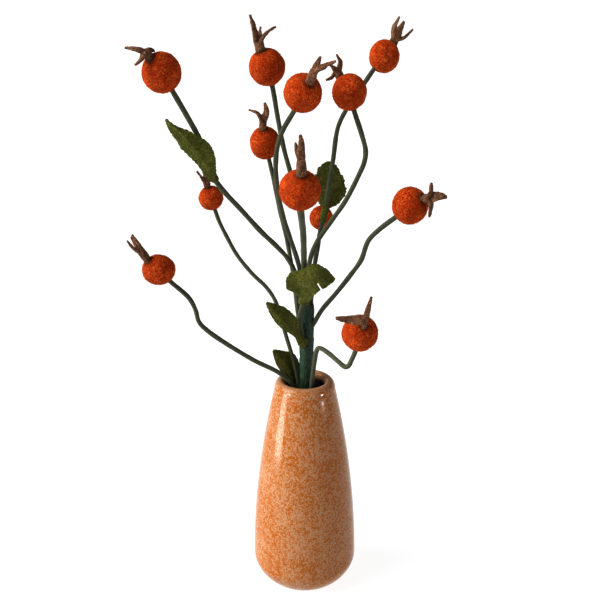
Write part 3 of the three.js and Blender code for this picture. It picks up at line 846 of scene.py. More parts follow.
@dataclass
class BudVase:
    """The turned vase: foot, round belly, long taper, rolled lip, throat and hollow.

    Every radius and height is in millimetres. The powers shape the foot's superellipse and the taper, the
    flare is the height over which the throat opens, and the corner is the round one at the bowl's floor.
    """

    height: float = 135.3
    foot_radius: float = 18.7
    belly_radius: float = 32.1
    belly_height: float = 16.1
    belly_power: float = 2 / 1.6
    shoulder_radius: float = 18.4
    shoulder_height: float = 129.7
    taper_power: float = 1.87
    mouth_radius: float = 11.2
    wall: float = 4.6
    floor: float = 5.0
    throat_height: float = 119.0
    throat_flare: float = 11.0
    bowl_height: float = 24.0
    bowl_corner: float = 10.0
    foot_rings: int = 26
    wall_rings: int = 60
    lip_rings: int = 28
    flat_rings: int = 8
    hollow_rings: int = 30
    bowl_rings: int = 14
    sides: int = 240
    finish: Finish = field(default_factory=SpeckledGlaze)

    def taper(self, height: Array) -> Array:
        """Gives the outer radius above the belly, which draws in later the higher its power."""
        share = (height - self.belly_height) / (self.shoulder_height - self.belly_height)
        return self.belly_radius + (self.shoulder_radius - self.belly_radius) * share**self.taper_power

    def profile(self) -> Array:
        """Draws the wall's outline, from the middle of the foot out, up, over the lip and down inside.

        The foot is a superellipse, the wall the taper, the lip half an ellipse, and the hollow keeps the
        wall's thickness.

        Returns:
            Radius and height in millimetres, one row for each ring.
        """
        turn = np.linspace(0, QUARTER_TURN, self.foot_rings)
        foot = np.stack([
            self.foot_radius + (self.belly_radius - self.foot_radius) * np.sin(turn) ** self.belly_power,
            self.belly_height * (1 - np.cos(turn) ** self.belly_power),
        ], 1)
        heights = np.linspace(self.belly_height, self.shoulder_height, self.wall_rings)[1:]
        wall = np.stack([self.taper(heights), heights], 1)
        crest = (self.shoulder_radius + self.mouth_radius) / 2
        turn = np.linspace(0, HALF_TURN, self.lip_rings)[1:]
        lip = np.stack([
            crest + (self.shoulder_radius - crest) * np.cos(turn),
            self.shoulder_height + (self.height - self.shoulder_height) * np.sin(turn),
        ], 1)
        heights = np.linspace(self.shoulder_height, self.throat_height, self.flat_rings)[1:]
        throat = np.stack([np.full_like(heights, self.mouth_radius), heights], 1)
        heights = np.linspace(self.throat_height, self.bowl_height, self.hollow_rings)[1:]
        opened = np.clip((self.throat_height - heights) / self.throat_flare, 0, 1)
        inner = self.taper(heights) - self.wall
        hollow = np.stack([self.mouth_radius + (inner - self.mouth_radius) * opened, heights], 1)
        bowl_radius = hollow[-1, 0]
        turn = np.linspace(0, QUARTER_TURN, self.bowl_rings)[1:]
        bowl = np.stack([
            bowl_radius - self.bowl_corner + self.bowl_corner * np.cos(turn),
            self.bowl_height - (self.bowl_height - self.floor) * np.sin(turn),
        ], 1)
        radii = np.linspace(0.5, self.foot_radius, self.flat_rings)[:-1]
        base = np.stack([radii, np.zeros_like(radii)], 1)
        return np.vstack([base, foot, wall, lip, throat, hollow, bowl])

    def build(self) -> None:
        """Turns the outline about the upright axis."""
        outline = self.profile() * MM
        turn = around(self.sides)
        radius, height = outline[:, :1], outline[:, 1:]
        grid = np.stack(np.broadcast_arrays(radius * np.cos(turn), radius * np.sin(turn), height), -1)
        surface = skinned(grid, np.zeros(3), np.array([0, 0, self.floor * MM]), travelled(outline))
        piece_of("glazed_bud_vase", surface, "vase", self.finish)


@dataclass(frozen=True)
class Sepal:
    """One pointed lobe of a calyx: its middle and tip from the hip's centre, and its width, in mm."""

    middle: Point
    tip: Point
    width: float


@dataclass(frozen=True)
class CalyxCut:
    """The cut that every calyx shares, in millimetres and in shares of a length.

    Attributes:
        neck_swell: The neck's radius at its foot, as a share of the given one.
        neck_taper: How much of it is lost on the way to its top.
        mouth_start: Where the neck starts to close towards its top, as a share of its length.
        mouth_taper: How fast it closes there.
        neck_sides: Points round the neck.
        lobe_start: Where a lobe starts inside the neck, as a share of the neck's length.
        lobe_offset: How far a lobe starts from the neck's middle line, as a share of the neck's radius.
        base: A lobe's width at its start, as a share of the sepal's width.
        swelling: How fast it widens from there.
        pointing: How fast it narrows towards the tip.
        tip: Its half width at the tip.
        thickness: Its half thickness at its start.
        thinning: How much of that is lost at the tip.
        squareness: The power that flattens its section.
        lobe_sides: Points round a lobe.
        voxel: The grid on which neck and lobes are melted together.
    """

    neck_swell: float = 1.06
    neck_taper: float = 0.18
    mouth_start: float = 0.8
    mouth_taper: float = 0.35
    neck_sides: int = 24
    lobe_start: float = 0.45
    lobe_offset: float = 0.45
    base: float = 1.05
    swelling: float = 0.55
    pointing: float = 1.3
    tip: float = 0.12
    thickness: float = 1.35
    thinning: float = 0.85
    squareness: float = 0.75
    lobe_sides: int = 16
    voxel: float = 0.26


@dataclass
class RoseHip:
    """A needle-felted ball with a rolled felt calyx.

    Attributes:
        number: The hip's number in the frame.
        centre: The ball's centre in millimetres.
        wide: Its width in millimetres.
        tall: Its height in millimetres.
        neck: The calyx neck's foot and top from the centre, in millimetres.
        neck_radius: The neck's radius at its foot in millimetres.
        sepals: The lobes that the neck splits into.
        seam: How far the painted shade in the seam between ball and calyx reaches, in millimetres.
        cut: The calyx's cut.
        rows: Rings of points on the ball.
        columns: Points in a ring.
        felt: The ball's finish.
        calyx_felt: The calyx's finish.
    """

    number: int
    centre: Point
    wide: float
    tall: float
    neck: tuple[Point, Point]
    neck_radius: float
    sepals: tuple[Sepal, ...]
    seam: float = 1.8
    cut: CalyxCut = field(default_factory=CalyxCut)
    rows: int = 84
    columns: int = 124
    felt: Finish = field(default_factory=lambda: ORANGE_FELT)
    calyx_felt: Finish = field(default_factory=lambda: BROWN_FELT)

    def neck_ends(self) -> tuple[Array, Array]:
        """Gives the calyx neck's foot and top in metres."""
        foot, top = ((np.array(end) + self.centre) * MM for end in self.neck)
        return foot, top

    def ball(self, rng: np.random.Generator) -> Surface:
        """Felts the ball: a sphere stretched to its width and height, raised by lumps and tufts.

        Args:
            rng: The source of the lumps and fibres.

        Returns:
            The ball and its loose fibres.
        """
        tilt = np.linspace(-QUARTER_TURN, QUARTER_TURN, self.rows + 2)[1:-1, None]
        turn = around(self.columns)[None]
        level = np.cos(tilt)
        ways = np.stack(np.broadcast_arrays(level * np.cos(turn), level * np.sin(turn), np.sin(tilt)), -1)
        every = np.vstack([ways.reshape(-1, 3), [[0, 0, -1]], [[0, 0, 1]]])
        half = np.array([self.wide, self.wide, self.tall]) / 2 * MM
        points = np.array(self.centre) * MM + every * half
        raised = BALL_NAP.raised(points, unit(every / half), rng)
        skin = skinned(raised[:-2].reshape(self.rows, self.columns, 3), raised[-2], raised[-1])
        count = round(math.pi * self.wide * self.tall * BALL_NAP.fibres_per_mm2)
        scatter = unit(rng.normal(size=(count, 3)))
        roots = np.array(self.centre) * MM + scatter * half * HAIR_ROOTS
        hair = fibres(roots, unit(scatter / half), rng, BALL_NAP.fibre_length, BALL_NAP.fibre_thickness)
        wool = joined([skin, hair])
        # Painted shade: the ball is darkened near the calyx neck, fading out over the seam's reach.
        foot, top = self.neck_ends()
        along = np.clip((wool.points - foot) @ (top - foot) / ((top - foot) @ (top - foot)), 0, 1)
        gap = np.linalg.norm(wool.points - foot - along[:, None] * (top - foot), axis=1)
        wool.shade = np.clip(1 - (gap / MM - self.neck_radius) / self.seam, 0, 1)
        return wool

    def lobe(self, sepal: Sepal) -> Surface:
        """Carries a flat rounded section from inside the neck out to a sepal's tip.

        At the share s of the length, the half width is the tip's own plus width / 2 times
        (base + swelling s - pointing s squared), and the half thickness is thickness - thinning s.

        Args:
            sepal: The lobe.

        Returns:
            The lobe's surface.
        """
        foot, top = (np.array(end, float) for end in self.neck)
        axis = unit(top - foot)
        reach = np.array(sepal.tip) - top
        outward = unit(reach - (reach @ axis) * axis)
        cut = self.cut
        rim = outward * self.neck_radius * cut.lobe_offset
        root = foot + cut.lobe_start * (top - foot) + rim
        knots = np.array([root, top + rim, sepal.middle, sepal.tip]) + self.centre
        line = smooth_route([tuple(knot) for knot in knots], step=0.3 * MM)
        along = unit(np.gradient(line, axis=0))
        thin = unit(np.cross(along, np.cross(axis, outward)))
        wide = np.cross(thin, along)
        s = np.linspace(0, 1, len(line))[:, None]
        half_width = MM * (cut.tip + sepal.width / 2 * (cut.base + cut.swelling * s - cut.pointing * s**2))
        half_thickness = MM * (cut.thickness - cut.thinning * s)
        turn = around(cut.lobe_sides)[None]
        flat = squared(np.cos(turn), cut.squareness) * half_width
        deep = squared(np.sin(turn), cut.squareness) * half_thickness
        grid = line[:, None] + flat[..., None] * wide[:, None] + deep[..., None] * thin[:, None]
        return skinned(grid, line[0], line[-1])

    def calyx(self, rng: np.random.Generator) -> Surface:
        """Rolls the neck, melts the lobes into it and roughens the felt.

        Args:
            rng: The source of the lumps and fibres.

        Returns:
            The calyx and its loose fibres.
        """
        cut = self.cut
        line = even_steps(np.array(self.neck_ends()), step=0.4 * MM)
        s = np.linspace(0, 1, len(line))
        narrowed = cut.neck_swell - cut.neck_taper * s - cut.mouth_taper * np.maximum(s - cut.mouth_start, 0)
        neck = tube(line, self.neck_radius * MM * narrowed, cut.neck_sides)
        felt = CALYX_NAP.grown(fused([neck, *map(self.lobe, self.sepals)], cut.voxel * MM, rounds=2), rng)
        # Painted shade: the calyx is darkened where it lies near the ball's surface.
        out = np.linalg.norm((felt.points / MM - self.centre) / (self.wide, self.wide, self.tall), axis=1) * 2
        felt.shade = np.clip(1 - (out - 1) * self.wide / 2 / self.seam, 0, 1)
        return felt

    def build(self) -> None:
        """Makes the ball and its calyx."""
        rng = np.random.default_rng(self.number)
        piece_of(f"felt_ball_{self.number}", self.ball(rng), f"hip_{self.number}", self.felt)
        piece_of(f"felt_calyx_{self.number}", self.calyx(rng), f"calyx_{self.number}", self.calyx_felt)


@dataclass
class CoveredWire:
    """A bent wire covered with fine yarn.

    Attributes:
        number: The wire's number in the frame.
        route: Its middle line in millimetres, from inside the hip to inside the binding.
        radius: Its radius in millimetres.
        waver: How the cover varies in radius: shares of it, each with its length in millimetres.
        sides: Points round the wire.
        finish: Its finish.
    """

    number: int
    route: tuple[Point, ...]
    radius: float = 1.35
    waver: tuple[tuple[float, float], ...] = ((0.035, 11), (0.02, 3))
    sides: int = 16
    finish: Finish = field(default_factory=WoundCover)

    def line(self, step: float) -> Array:
        """Gives the middle line at even steps, in metres."""
        return smooth_route(self.route, step)

    def build(self) -> None:
        """Carries a slightly uneven circle along the route."""
        rng = np.random.default_rng(WIRE_SEED + self.number)
        line = self.line(step=0.8 * MM)
        uneven = sum((share * lumps(line, rng, size * MM) for share, size in self.waver), 1.0)
        surface = tube(line, self.radius * MM * uneven, self.sides)
        piece_of(f"covered_wire_{self.number}", surface, f"stem_{self.number}", self.finish)


@dataclass
class TapeBinding:
    """The tape wound round the wires' lower ends, in millimetres.

    Attributes:
        centre: Where the binding stands, across and along the view.
        radii: Heights, each with the radius there.
        pitch: The height of one turn of the tape.
        overlap: How far the tape's free edge stands proud.
        edge: How much of a turn the free edge takes to drop back.
        crease: The height of the creases.
        crease_size: Their length round the binding.
        crease_stretch: How many times longer they are up the binding.
        step: The height of one ring of points.
        sides: Points in a ring.
        finish: Its finish.
    """

    centre: tuple[float, float] = (1.0, 0.0)
    radii: tuple[tuple[float, float], ...] = (
        (5.3, 3.5), (60, 3.7), (108, 4.1), (150, 4.35), (181, 4.55), (183, 4.2),
    )
    pitch: float = 9.0
    overlap: float = 0.32
    edge: float = 0.06
    crease: float = 0.09
    crease_size: float = 1.3
    crease_stretch: float = 4.0
    step: float = 0.55
    sides: int = 48
    finish: Finish = field(default_factory=CrepeTape)

    def build(self) -> None:
        """Winds the tape: each turn lifts along its width and drops back where the next one starts.

        The radius is the binding's own, less the overlap, plus the overlap times f, where f is the share of a
        turn that has passed at that height and angle. Near f = 1 it falls back along a straight edge.
        """
        rng = np.random.default_rng(TAPE_SEED)
        heights, radii = np.array(self.radii).T
        z = np.linspace(heights[0], heights[-1], round((heights[-1] - heights[0]) / self.step))
        turn = around(self.sides)
        passed = (z[:, None] / self.pitch + turn[None] / FULL_TURN) % 1.0
        held = np.clip((1 - passed) / self.edge, 0, 1)
        radius = np.interp(z, heights, radii)[:, None] - self.overlap + self.overlap * passed * held
        line = np.stack([np.full_like(z, self.centre[0]), np.full_like(z, self.centre[1]), z], 1)
        ring = np.stack([np.cos(turn), np.sin(turn), np.zeros_like(turn)], 1)
        flat = (line[:, None] + radius[..., None] * ring[None]) * MM
        squeezed = flat.reshape(-1, 3) / [1, 1, self.crease_stretch]
        creases = lumps(squeezed, rng, self.crease_size * MM).reshape(*passed.shape, 1)
        creased = flat + ring[None] * self.crease * MM * creases
        surface = skinned(creased, line[0] * MM, line[-1] * MM, z * MM)
        piece_of("tape_binding", surface, "stem_binding", self.finish)


@dataclass
class FeltLeaf:
    """A leaf cut from green felt, most with a tab that is rolled round a wire.

    Attributes:
        number: The leaf's number in the frame.
        midrib: The middle line in millimetres, from the stub to the tip.
        left: The left edge from the stub to the tip, in millimetres.
        right: The right edge, likewise.
        wire: The wire that the tab is rolled round, if any.
        tab: The tab's lowest and highest point in millimetres.
        teeth: The number of teeth on the left and on the right edge.
        tooth_depth: How far the edge drops back behind a tooth, in millimetres.
        tooth_drift: How unevenly the teeth follow each other, as a share of one tooth.
        slit: Where a slit runs in from the right edge, how deep, and how far it opens to each side, as shares
            of the length, of the half width and of the length.
        slit_walls: How steep the slit's sides are. At 1 it is a plain notch.
        thickness: The felt's thickness in millimetres.
        border: How far it ends past the edge's line, in millimetres.
        ragged: How far its edge frays, in millimetres.
        wrap: How thick the roll of the tab lies round the wire, in millimetres.
        roll_sides: Points round the roll.
        soft_end: The roll's radius at its ends as a share of the full one, and how fast it reaches that.
        crown: The powers that flatten the blade's section, across and through.
        voxel: The grid on which the blade and its tab are melted together, in millimetres.
        rows: Points along the blade.
        columns: Points round its section.
        steady: The share of the length after which the blade's lie no longer turns.
        felt: Its finish.
    """

    number: int
    midrib: tuple[Point, ...]
    left: tuple[Point, ...]
    right: tuple[Point, ...]
    wire: CoveredWire | None = None
    tab: tuple[float, float] = (0.0, 0.0)
    teeth: tuple[int, int] = (16, 16)
    tooth_depth: float = 0.4
    tooth_drift: float = 0.25
    slit: tuple[float, float, float] | None = None
    slit_walls: float = 2.5
    thickness: float = 1.0
    border: float = 0.4
    ragged: float = 0.16
    wrap: float = 1.2
    roll_sides: int = 28
    soft_end: tuple[float, float] = (0.82, 2.0)
    crown: tuple[float, float] = (0.8, 0.35)
    voxel: float = 0.30
    rows: int = 150
    columns: int = 56
    steady: float = 0.9
    felt: Finish = field(default_factory=lambda: GREEN_FELT)

    def reach(self, edge: Array, middle: Array, side: Array, teeth: int, rng: np.random.Generator) -> Array:
        """Gives the way from the midrib to one edge in each row.

        The cloth ends the border past the edge's line. It is ragged, and each tooth swells slowly towards the
        tip and then drops back by its depth.

        Args:
            edge: The edge's line in metres.
            middle: The midrib in metres.
            side: The unit vector from the midrib towards this edge in each row.
            teeth: The number of teeth.
            rng: The source of the raggedness.

        Returns:
            A vector in metres for each row.
        """
        s = np.linspace(0, 1, self.rows)
        drop = 1 - (s * teeth + self.tooth_drift * lumps(edge, rng, size=5 * MM)) % 1.0
        past = self.border - self.tooth_depth * drop + self.ragged * lumps(edge, rng, size=1.1 * MM)
        return edge - middle + (past * MM)[:, None] * side

    def blade(self, rng: np.random.Generator) -> Surface:
        """Spans the felt from the midrib to its two edges.

        A point at t from the left edge (-1) over the midrib (0) to the right edge (1) lies at the share |t|
        of the way to that edge. Half the thickness is added to each face, and falls to nothing at the edges.

        Args:
            rng: The source of the raggedness.

        Returns:
            The blade's surface.
        """
        middle, left, right = (
            even_points(smooth_route(route, step=0.2 * MM), self.rows)
            for route in (self.midrib, self.left, self.right)
        )
        lie = np.minimum(np.arange(self.rows), round(self.steady * (self.rows - 1)))
        along = unit(np.gradient(middle, axis=0))[lie]
        up = unit(np.cross(along, (right - left)[lie]))
        side = np.cross(up, along)
        to_left = self.reach(left, middle, -side, self.teeth[0], rng)
        to_right = self.reach(right, middle, side, self.teeth[1], rng)
        if self.slit is not None:
            share, depth, opening = self.slit
            s = np.linspace(0, 1, self.rows)
            cut = np.clip(self.slit_walls * (1 - np.abs(s - share) / opening), 0, 1)
            to_right = to_right * (1 - depth * cut)[:, None]
        turn = around(self.columns)[None]
        t = squared(np.cos(turn), self.crown[0])[..., None]
        skin = self.thickness / 2 * MM * squared(np.sin(turn), self.crown[1])
        spread = np.where(t < 0, -t * to_left[:, None], t * to_right[:, None])
        return skinned(middle[:, None] + spread + skin[..., None] * up[:, None], middle[0], middle[-1])

    def rolled_tab(self) -> list[Surface]:
        """Rolls the tab round its wire, between its two heights.

        Returns:
            The roll's surface, or nothing for a leaf that is bound in by its stub.
        """
        if self.wire is None:
            return []
        line = self.wire.line(step=0.3 * MM)
        low, high = (height * MM for height in self.tab)
        line = line[(line[:, 2] >= low) & (line[:, 2] <= high)]
        s = np.linspace(0, 1, len(line))
        start, rise = self.soft_end
        soft = np.minimum(1.0, start + rise * np.minimum(s, 1 - s))
        return [tube(line, (self.wire.radius + self.wrap) * MM * soft, self.roll_sides)]

    def build(self) -> None:
        """Melts the blade and its tab together and roughens the felt."""
        rng = np.random.default_rng(LEAF_SEED + self.number)
        felt = LEAF_NAP.grown(fused([self.blade(rng), *self.rolled_tab()], self.voxel * MM, rounds=2), rng)
        piece_of(f"felt_leaf_{self.number}", felt, f"leaf_{self.number}", self.felt)


ORANGE_FELT = Felt(
    Slot.ORANGE_FELT, deep=paint(130, 32, 5), body=paint(190, 68, 10), pale=paint(246, 146, 72),
    hair=paint(222, 104, 40), grain=0.9 * MM, sheen=0.2,
)
BROWN_FELT = Felt(
    Slot.BROWN_FELT, deep=paint(76, 47, 31), body=paint(130, 92, 67), pale=paint(192, 158, 130),
    hair=paint(160, 124, 98), grain=0.8 * MM, sheen=0.2,
)
GREEN_FELT = Felt(
    Slot.GREEN_FELT, deep=paint(62, 65, 20), body=paint(96, 98, 38), pale=paint(150, 150, 98),
    hair=paint(124, 126, 70), grain=0.8 * MM, sheen=0.12,
)
BALL_NAP = Nap(
    lump=6 * MM, lump_depth=0.10 * MM, pile=1.3 * MM, pile_depth=0.07 * MM,
    fibres_per_mm2=0.75, fibre_length=1.5 * MM,
)
CALYX_NAP = Nap(
    lump=4 * MM, lump_depth=0.10 * MM, pile=1.1 * MM, pile_depth=0.06 * MM,
    fibres_per_mm2=0.6, fibre_length=1.2 * MM,
)
LEAF_NAP = Nap(
    lump=7 * MM, lump_depth=0.12 * MM, pile=1.2 * MM, pile_depth=0.05 * MM,
    fibres_per_mm2=0.35, fibre_length=1.1 * MM,
)

# Sizes and places of the sprig's own pieces, in millimetres

WIRES = {
    1: CoveredWire(1, (
        (-69.7, -27.6, 310), (-67.1, -27, 304.8), (-60.4, -24.5, 291.7), (-55.1, -21, 280.1),
        (-52, -19, 270.4), (-49.4, -17, 260.5), (-45, -15, 253.1), (-35.4, -10.5, 241), (-24.6, -6, 227.4),
        (-15.6, -4.2, 218), (-9.9, -3.7, 211.2), (-5.9, -3.7, 203), (-4.7, -3.8, 192), (-4.1, -3.2, 180),
        (-3.1, -1.9, 173), (-2.1, -0.9, 169)), radius=1.4),
    2: CoveredWire(2, (
        (-19.9, 12, 311.2), (-18.3, 12, 305.8), (-15.1, 13, 286.8), (-12.1, 13, 271.3), (-8, 12.5, 256),
        (-4, 10, 239.2), (-1.2, 7, 219.6), (-0.9, 3.5, 200), (-1.1, 1.7, 187), (-1.06, 1.5, 176))),
    3: CoveredWire(3, (
        (-3.5, -13.6, 299.7), (-6.1, -13, 294.1), (-12.2, -12, 283.6), (-15.3, -11, 273.5), (-16, -10, 261.5),
        (-14.7, -8, 248), (-11.8, -6, 234.1), (-8.9, -5, 224.7), (-3.9, -3.2, 208.4), (-1.6, -2, 196),
        (-1.06, -1.5, 186), (-1.06, -1.5, 176))),
    4: CoveredWire(4, (
        (-22, 21.5, 269), (-20.8, 21, 263.9), (-18.2, 19, 252.1), (-14.5, 16, 233.9), (-11.1, 13, 220.3),
        (-7.9, 9.5, 204.1), (-5.7, 6.2, 188), (-4, 4, 174), (-1.2, 1.8, 160)), radius=1.2),
    5: CoveredWire(5, (
        (24.9, -2.5, 298.4), (26.4, -3, 292.7), (30, -5, 282.3), (32.7, -6, 272.2), (32, -6, 265.8),
        (29.5, -5.5, 259.5), (22.6, -4.5, 245), (16.4, -3.6, 235.4), (10.3, -3.4, 226.6), (6, -3.1, 219.4),
        (2.9, -3, 210.5), (1.9, -2.7, 199), (1.79, -2.43, 186), (1.79, -2.43, 176))),
    6: CoveredWire(6, (
        (43.1, 41.4, 317.2), (38.1, 40, 310.3), (29.6, 36, 298.1), (23.2, 33, 289.3), (19.1, 30.5, 280.5),
        (16.3, 25.5, 262.2), (14, 21.5, 248.7), (12.2, 17.5, 236.5), (10.1, 13.6, 229), (8, 9.6, 219.5),
        (6.2, 5.2, 209), (4.3, 1.6, 195), (3.55, 0, 186), (3.55, 0, 176))),
    7: CoveredWire(7, (
        (-2.7, -60, 257), (-2.4, -57, 250.6), (-1.2, -38, 233.3), (-0.7, -21, 213.6), (-0.3, -14, 198.4),
        (-1, -11, 187.6), (-2.8, -8.2, 178), (-2.7, -5.6, 170.5), (-1, -1.8, 159)), radius=1.65),
    8: CoveredWire(8, (
        (-55.5, 33.6, 235.6), (-54.1, 33, 231.5), (-51.8, 32, 224.9), (-47.2, 31, 215.2), (-41.2, 29, 204.5),
        (-32.4, 26, 194), (-23, 23, 185.3), (-17.8, 19.5, 178), (-14.6, 15, 169.1), (-11.3, 10.5, 158.9),
        (-7.2, 6.8, 145.6), (-3.7, 4.5, 130), (-2.4, 3.3, 118), (-0.4, 1.6, 104)), radius=1.2),
    9: CoveredWire(9, (
        (52, -25.5, 243.4), (48.2, -25, 240), (40.1, -23, 233), (34.3, -21, 226.1), (30.8, -17, 214),
        (25.4, -13, 204.2), (17.6, -8.5, 192), (9.9, -4.6, 180.9), (6.2, -2.6, 173.6), (3.2, -1.2, 167),
        (2.4, -0.6, 160))),
    10: CoveredWire(10, (
        (-78.6, -15.6, 205), (-75, -15, 200.7), (-65.5, -14, 191), (-62.1, -14, 183.9), (-60.5, -13, 176.3),
        (-55.7, -12, 170.4), (-45.2, -10.3, 161.7), (-29.9, -8.3, 150.8), (-14.7, -6, 141.4),
        (-5.6, -4.3, 131.1), (-2.6, -2.8, 119), (-0.9, -1.2, 108))),
    11: CoveredWire(11, (
        (28.8, -34, 172.3), (27.7, -34, 167.2), (25.4, -33.5, 160.8), (24.2, -33.2, 158),
        (22.7, -32.8, 156.8), (20.9, -31.5, 157.2), (18, -28.5, 158.8), (12.9, -22, 161), (9.4, -17.2, 161.6),
        (7.6, -14.6, 160.8), (6.6, -12.9, 158.2), (5.6, -10.6, 151), (4.6, -8.2, 141), (3.8, -6.7, 131.6),
        (2.8, -4.4, 120), (1.9, -1.8, 109))),
    12: CoveredWire(12, (
        (9.9, 39.4, 222.5), (9.4, 38, 218.6), (8.3, 30, 210.5), (6.1, 19, 202), (3.6, 8.5, 193.5),
        (2.2, 3.6, 187.5), (1.79, 2.43, 183), (1.79, 2.43, 176)), radius=1.2),
}

HIPS = (
    RoseHip(1, (-72.3, -28, 314.4), 19.8, 20.3, ((-4.1, -5, 6.2), (-6, -6.5, 10.2)), 2.4, (
        Sepal((-10.1, -8, 11.3), (-16.2, -7, 12.1), 4),
        Sepal((-7.6, -10, 7), (-11, -11, 3.9), 3.8),
        Sepal((-4.8, -2, 10.8), (-3.5, 2, 10.3), 3.1))),
    RoseHip(2, (-20.9, 12, 315.3), 19.8, 20.1, ((-3, -3, 7.9), (-4.3, -3, 13.3)), 2.85, (
        Sepal((-6.6, -3, 20.5), (-8.8, -2, 27.1), 3.6),
        Sepal((0.5, -1, 18.2), (5, 1, 21), 3.4),
        Sepal((-3.9, 2, 17.4), (-3.3, 4, 21), 2.6))),
    RoseHip(3, (-1.4, -14, 303.4), 20, 20.4, ((3.5, -8, 5.7), (5.7, -12, 12.2)), 2.4, (
        Sepal((7.2, -12, 15.4), (9, -10, 18.5), 3.1),
        Sepal((11.2, -15, 14.5), (16.5, -16, 16.6), 4.4),
        Sepal((8.5, -8, 12.4), (12, -4, 13.2), 2.9))),
    RoseHip(4, (-23, 22, 273), 17.2, 18.8, ((-0.9, -4, 7.5), (-0.8, -5, 12.5)), 1.9, (
        Sepal((-3.8, -5, 17.2), (-8.7, -4, 18.9), 2.6),
        Sepal((1.2, -5, 17.8), (0.3, -3, 22.8), 3.6),
        Sepal((0.4, -1, 16.1), (2, 4, 18), 2.6))),
    RoseHip(5, (23.5, -2, 303), 18.5, 19.3, ((-4.4, 3, 6.6), (-6.2, 5, 10.4)), 2.3, (
        Sepal((-4.7, 6, 15), (-6.9, 6, 19.4), 3),
        Sepal((-8.3, 2, 12.3), (-10.3, 1, 13.7), 2.9),
        Sepal((-9.5, 4, 7.3), (-12.5, 3, 6.1), 3.1),
        Sepal((-7, 9, 10.6), (-8, 13, 11.5), 2.9))),
    RoseHip(6, (45.9, 42, 320), 17.5, 18.7, ((4.6, 3, 6), (6.3, 4, 9.6)), 2.7, (
        Sepal((5.4, 3, 15.2), (8.6, 5, 21.9), 3.4),
        Sepal((8.3, 2, 14.1), (11.2, 3, 19.4), 3.8),
        Sepal((11.5, 4, 10.2), (16.8, 6, 14.9), 3.9),
        Sepal((9, 9, 12.4), (11, 13.5, 15.4), 3.8))),
    RoseHip(7, (-2.9, -62, 261.4), 20.3, 19.8, ((0.7, -5.4, 7.9), (0.5, -8, 15.6)), 2.5, (
        Sepal((0.7, -7, 21.5), (0.2, -4, 26.9), 3.5),
        Sepal((-1.3, -6.4, 19.6), (-2.2, -4.4, 23.4), 2.8),
        Sepal((1.1, -4.4, 18.4), (1.2, -1, 21.2), 2.6))),
    RoseHip(8, (-56.4, 34, 238.6), 14.7, 14.7, ((-1.1, -1.7, 5.8), (-2.7, -2, 10.6)), 1.95, (
        Sepal((-5.2, -3, 13.3), (-7.6, -3, 16.6), 3.2),
        Sepal((-2.9, 0, 13.7), (-3.2, 0.6, 17.2), 3.6),
        Sepal((-1.6, 0.6, 12.4), (0.6, 3.2, 14.4), 2.6))),
    RoseHip(9, (55.3, -26, 246.3), 19, 20, ((4.5, -5.4, 4.4), (8.6, -8, 5.7)), 2, (
        Sepal((9.3, -9, 10.1), (9.5, -8, 13.9), 3.9),
        Sepal((12.9, -10, 7.1), (17.6, -10, 6.5), 5.1),
        Sepal((9.8, -8.6, 0.8), (9.4, -7, -4.6), 4.3),
        Sepal((11.1, -2, 5.6), (13.7, 3, 5), 3.6))),
    RoseHip(10, (-81.3, -16, 208.2), 18.4, 16.7, ((-4.4, -3.4, 5.2), (-8.7, -4, 11.8)), 2.2, (
        Sepal((-10.3, -4, 16.3), (-13, -3, 20.6), 3.4),
        Sepal((-12.4, -5, 13.6), (-15.6, -5, 17.9), 3.4),
        Sepal((-12, -0.6, 14.9), (-14.6, 2.4, 18.2), 2.5))),
    RoseHip(11, (29.8, -34, 177.4), 19.9, 20.1, ((1.4, -7, 5.6), (1.8, -10, 10.5)), 1.5, (
        Sepal((-6.3, -11, 11.5), (-14, -12, 12.9), 5.7),
        Sepal((2.7, -13, 16.6), (4.5, -14, 25.4), 3))),
    RoseHip(12, (10.1, 40, 225.1), 14.4, 14.7, ((0.9, 1.6, 5.7), (2, 4, 10.2)), 2, (
        Sepal((0.3, 6, 12.6), (-1.2, 8, 16), 3.1),
        Sepal((4.1, 3, 12.9), (5.9, 2.6, 16.6), 3.1),
        Sepal((3.7, 8, 11.9), (5.4, 12, 14.1), 3.1))),
)

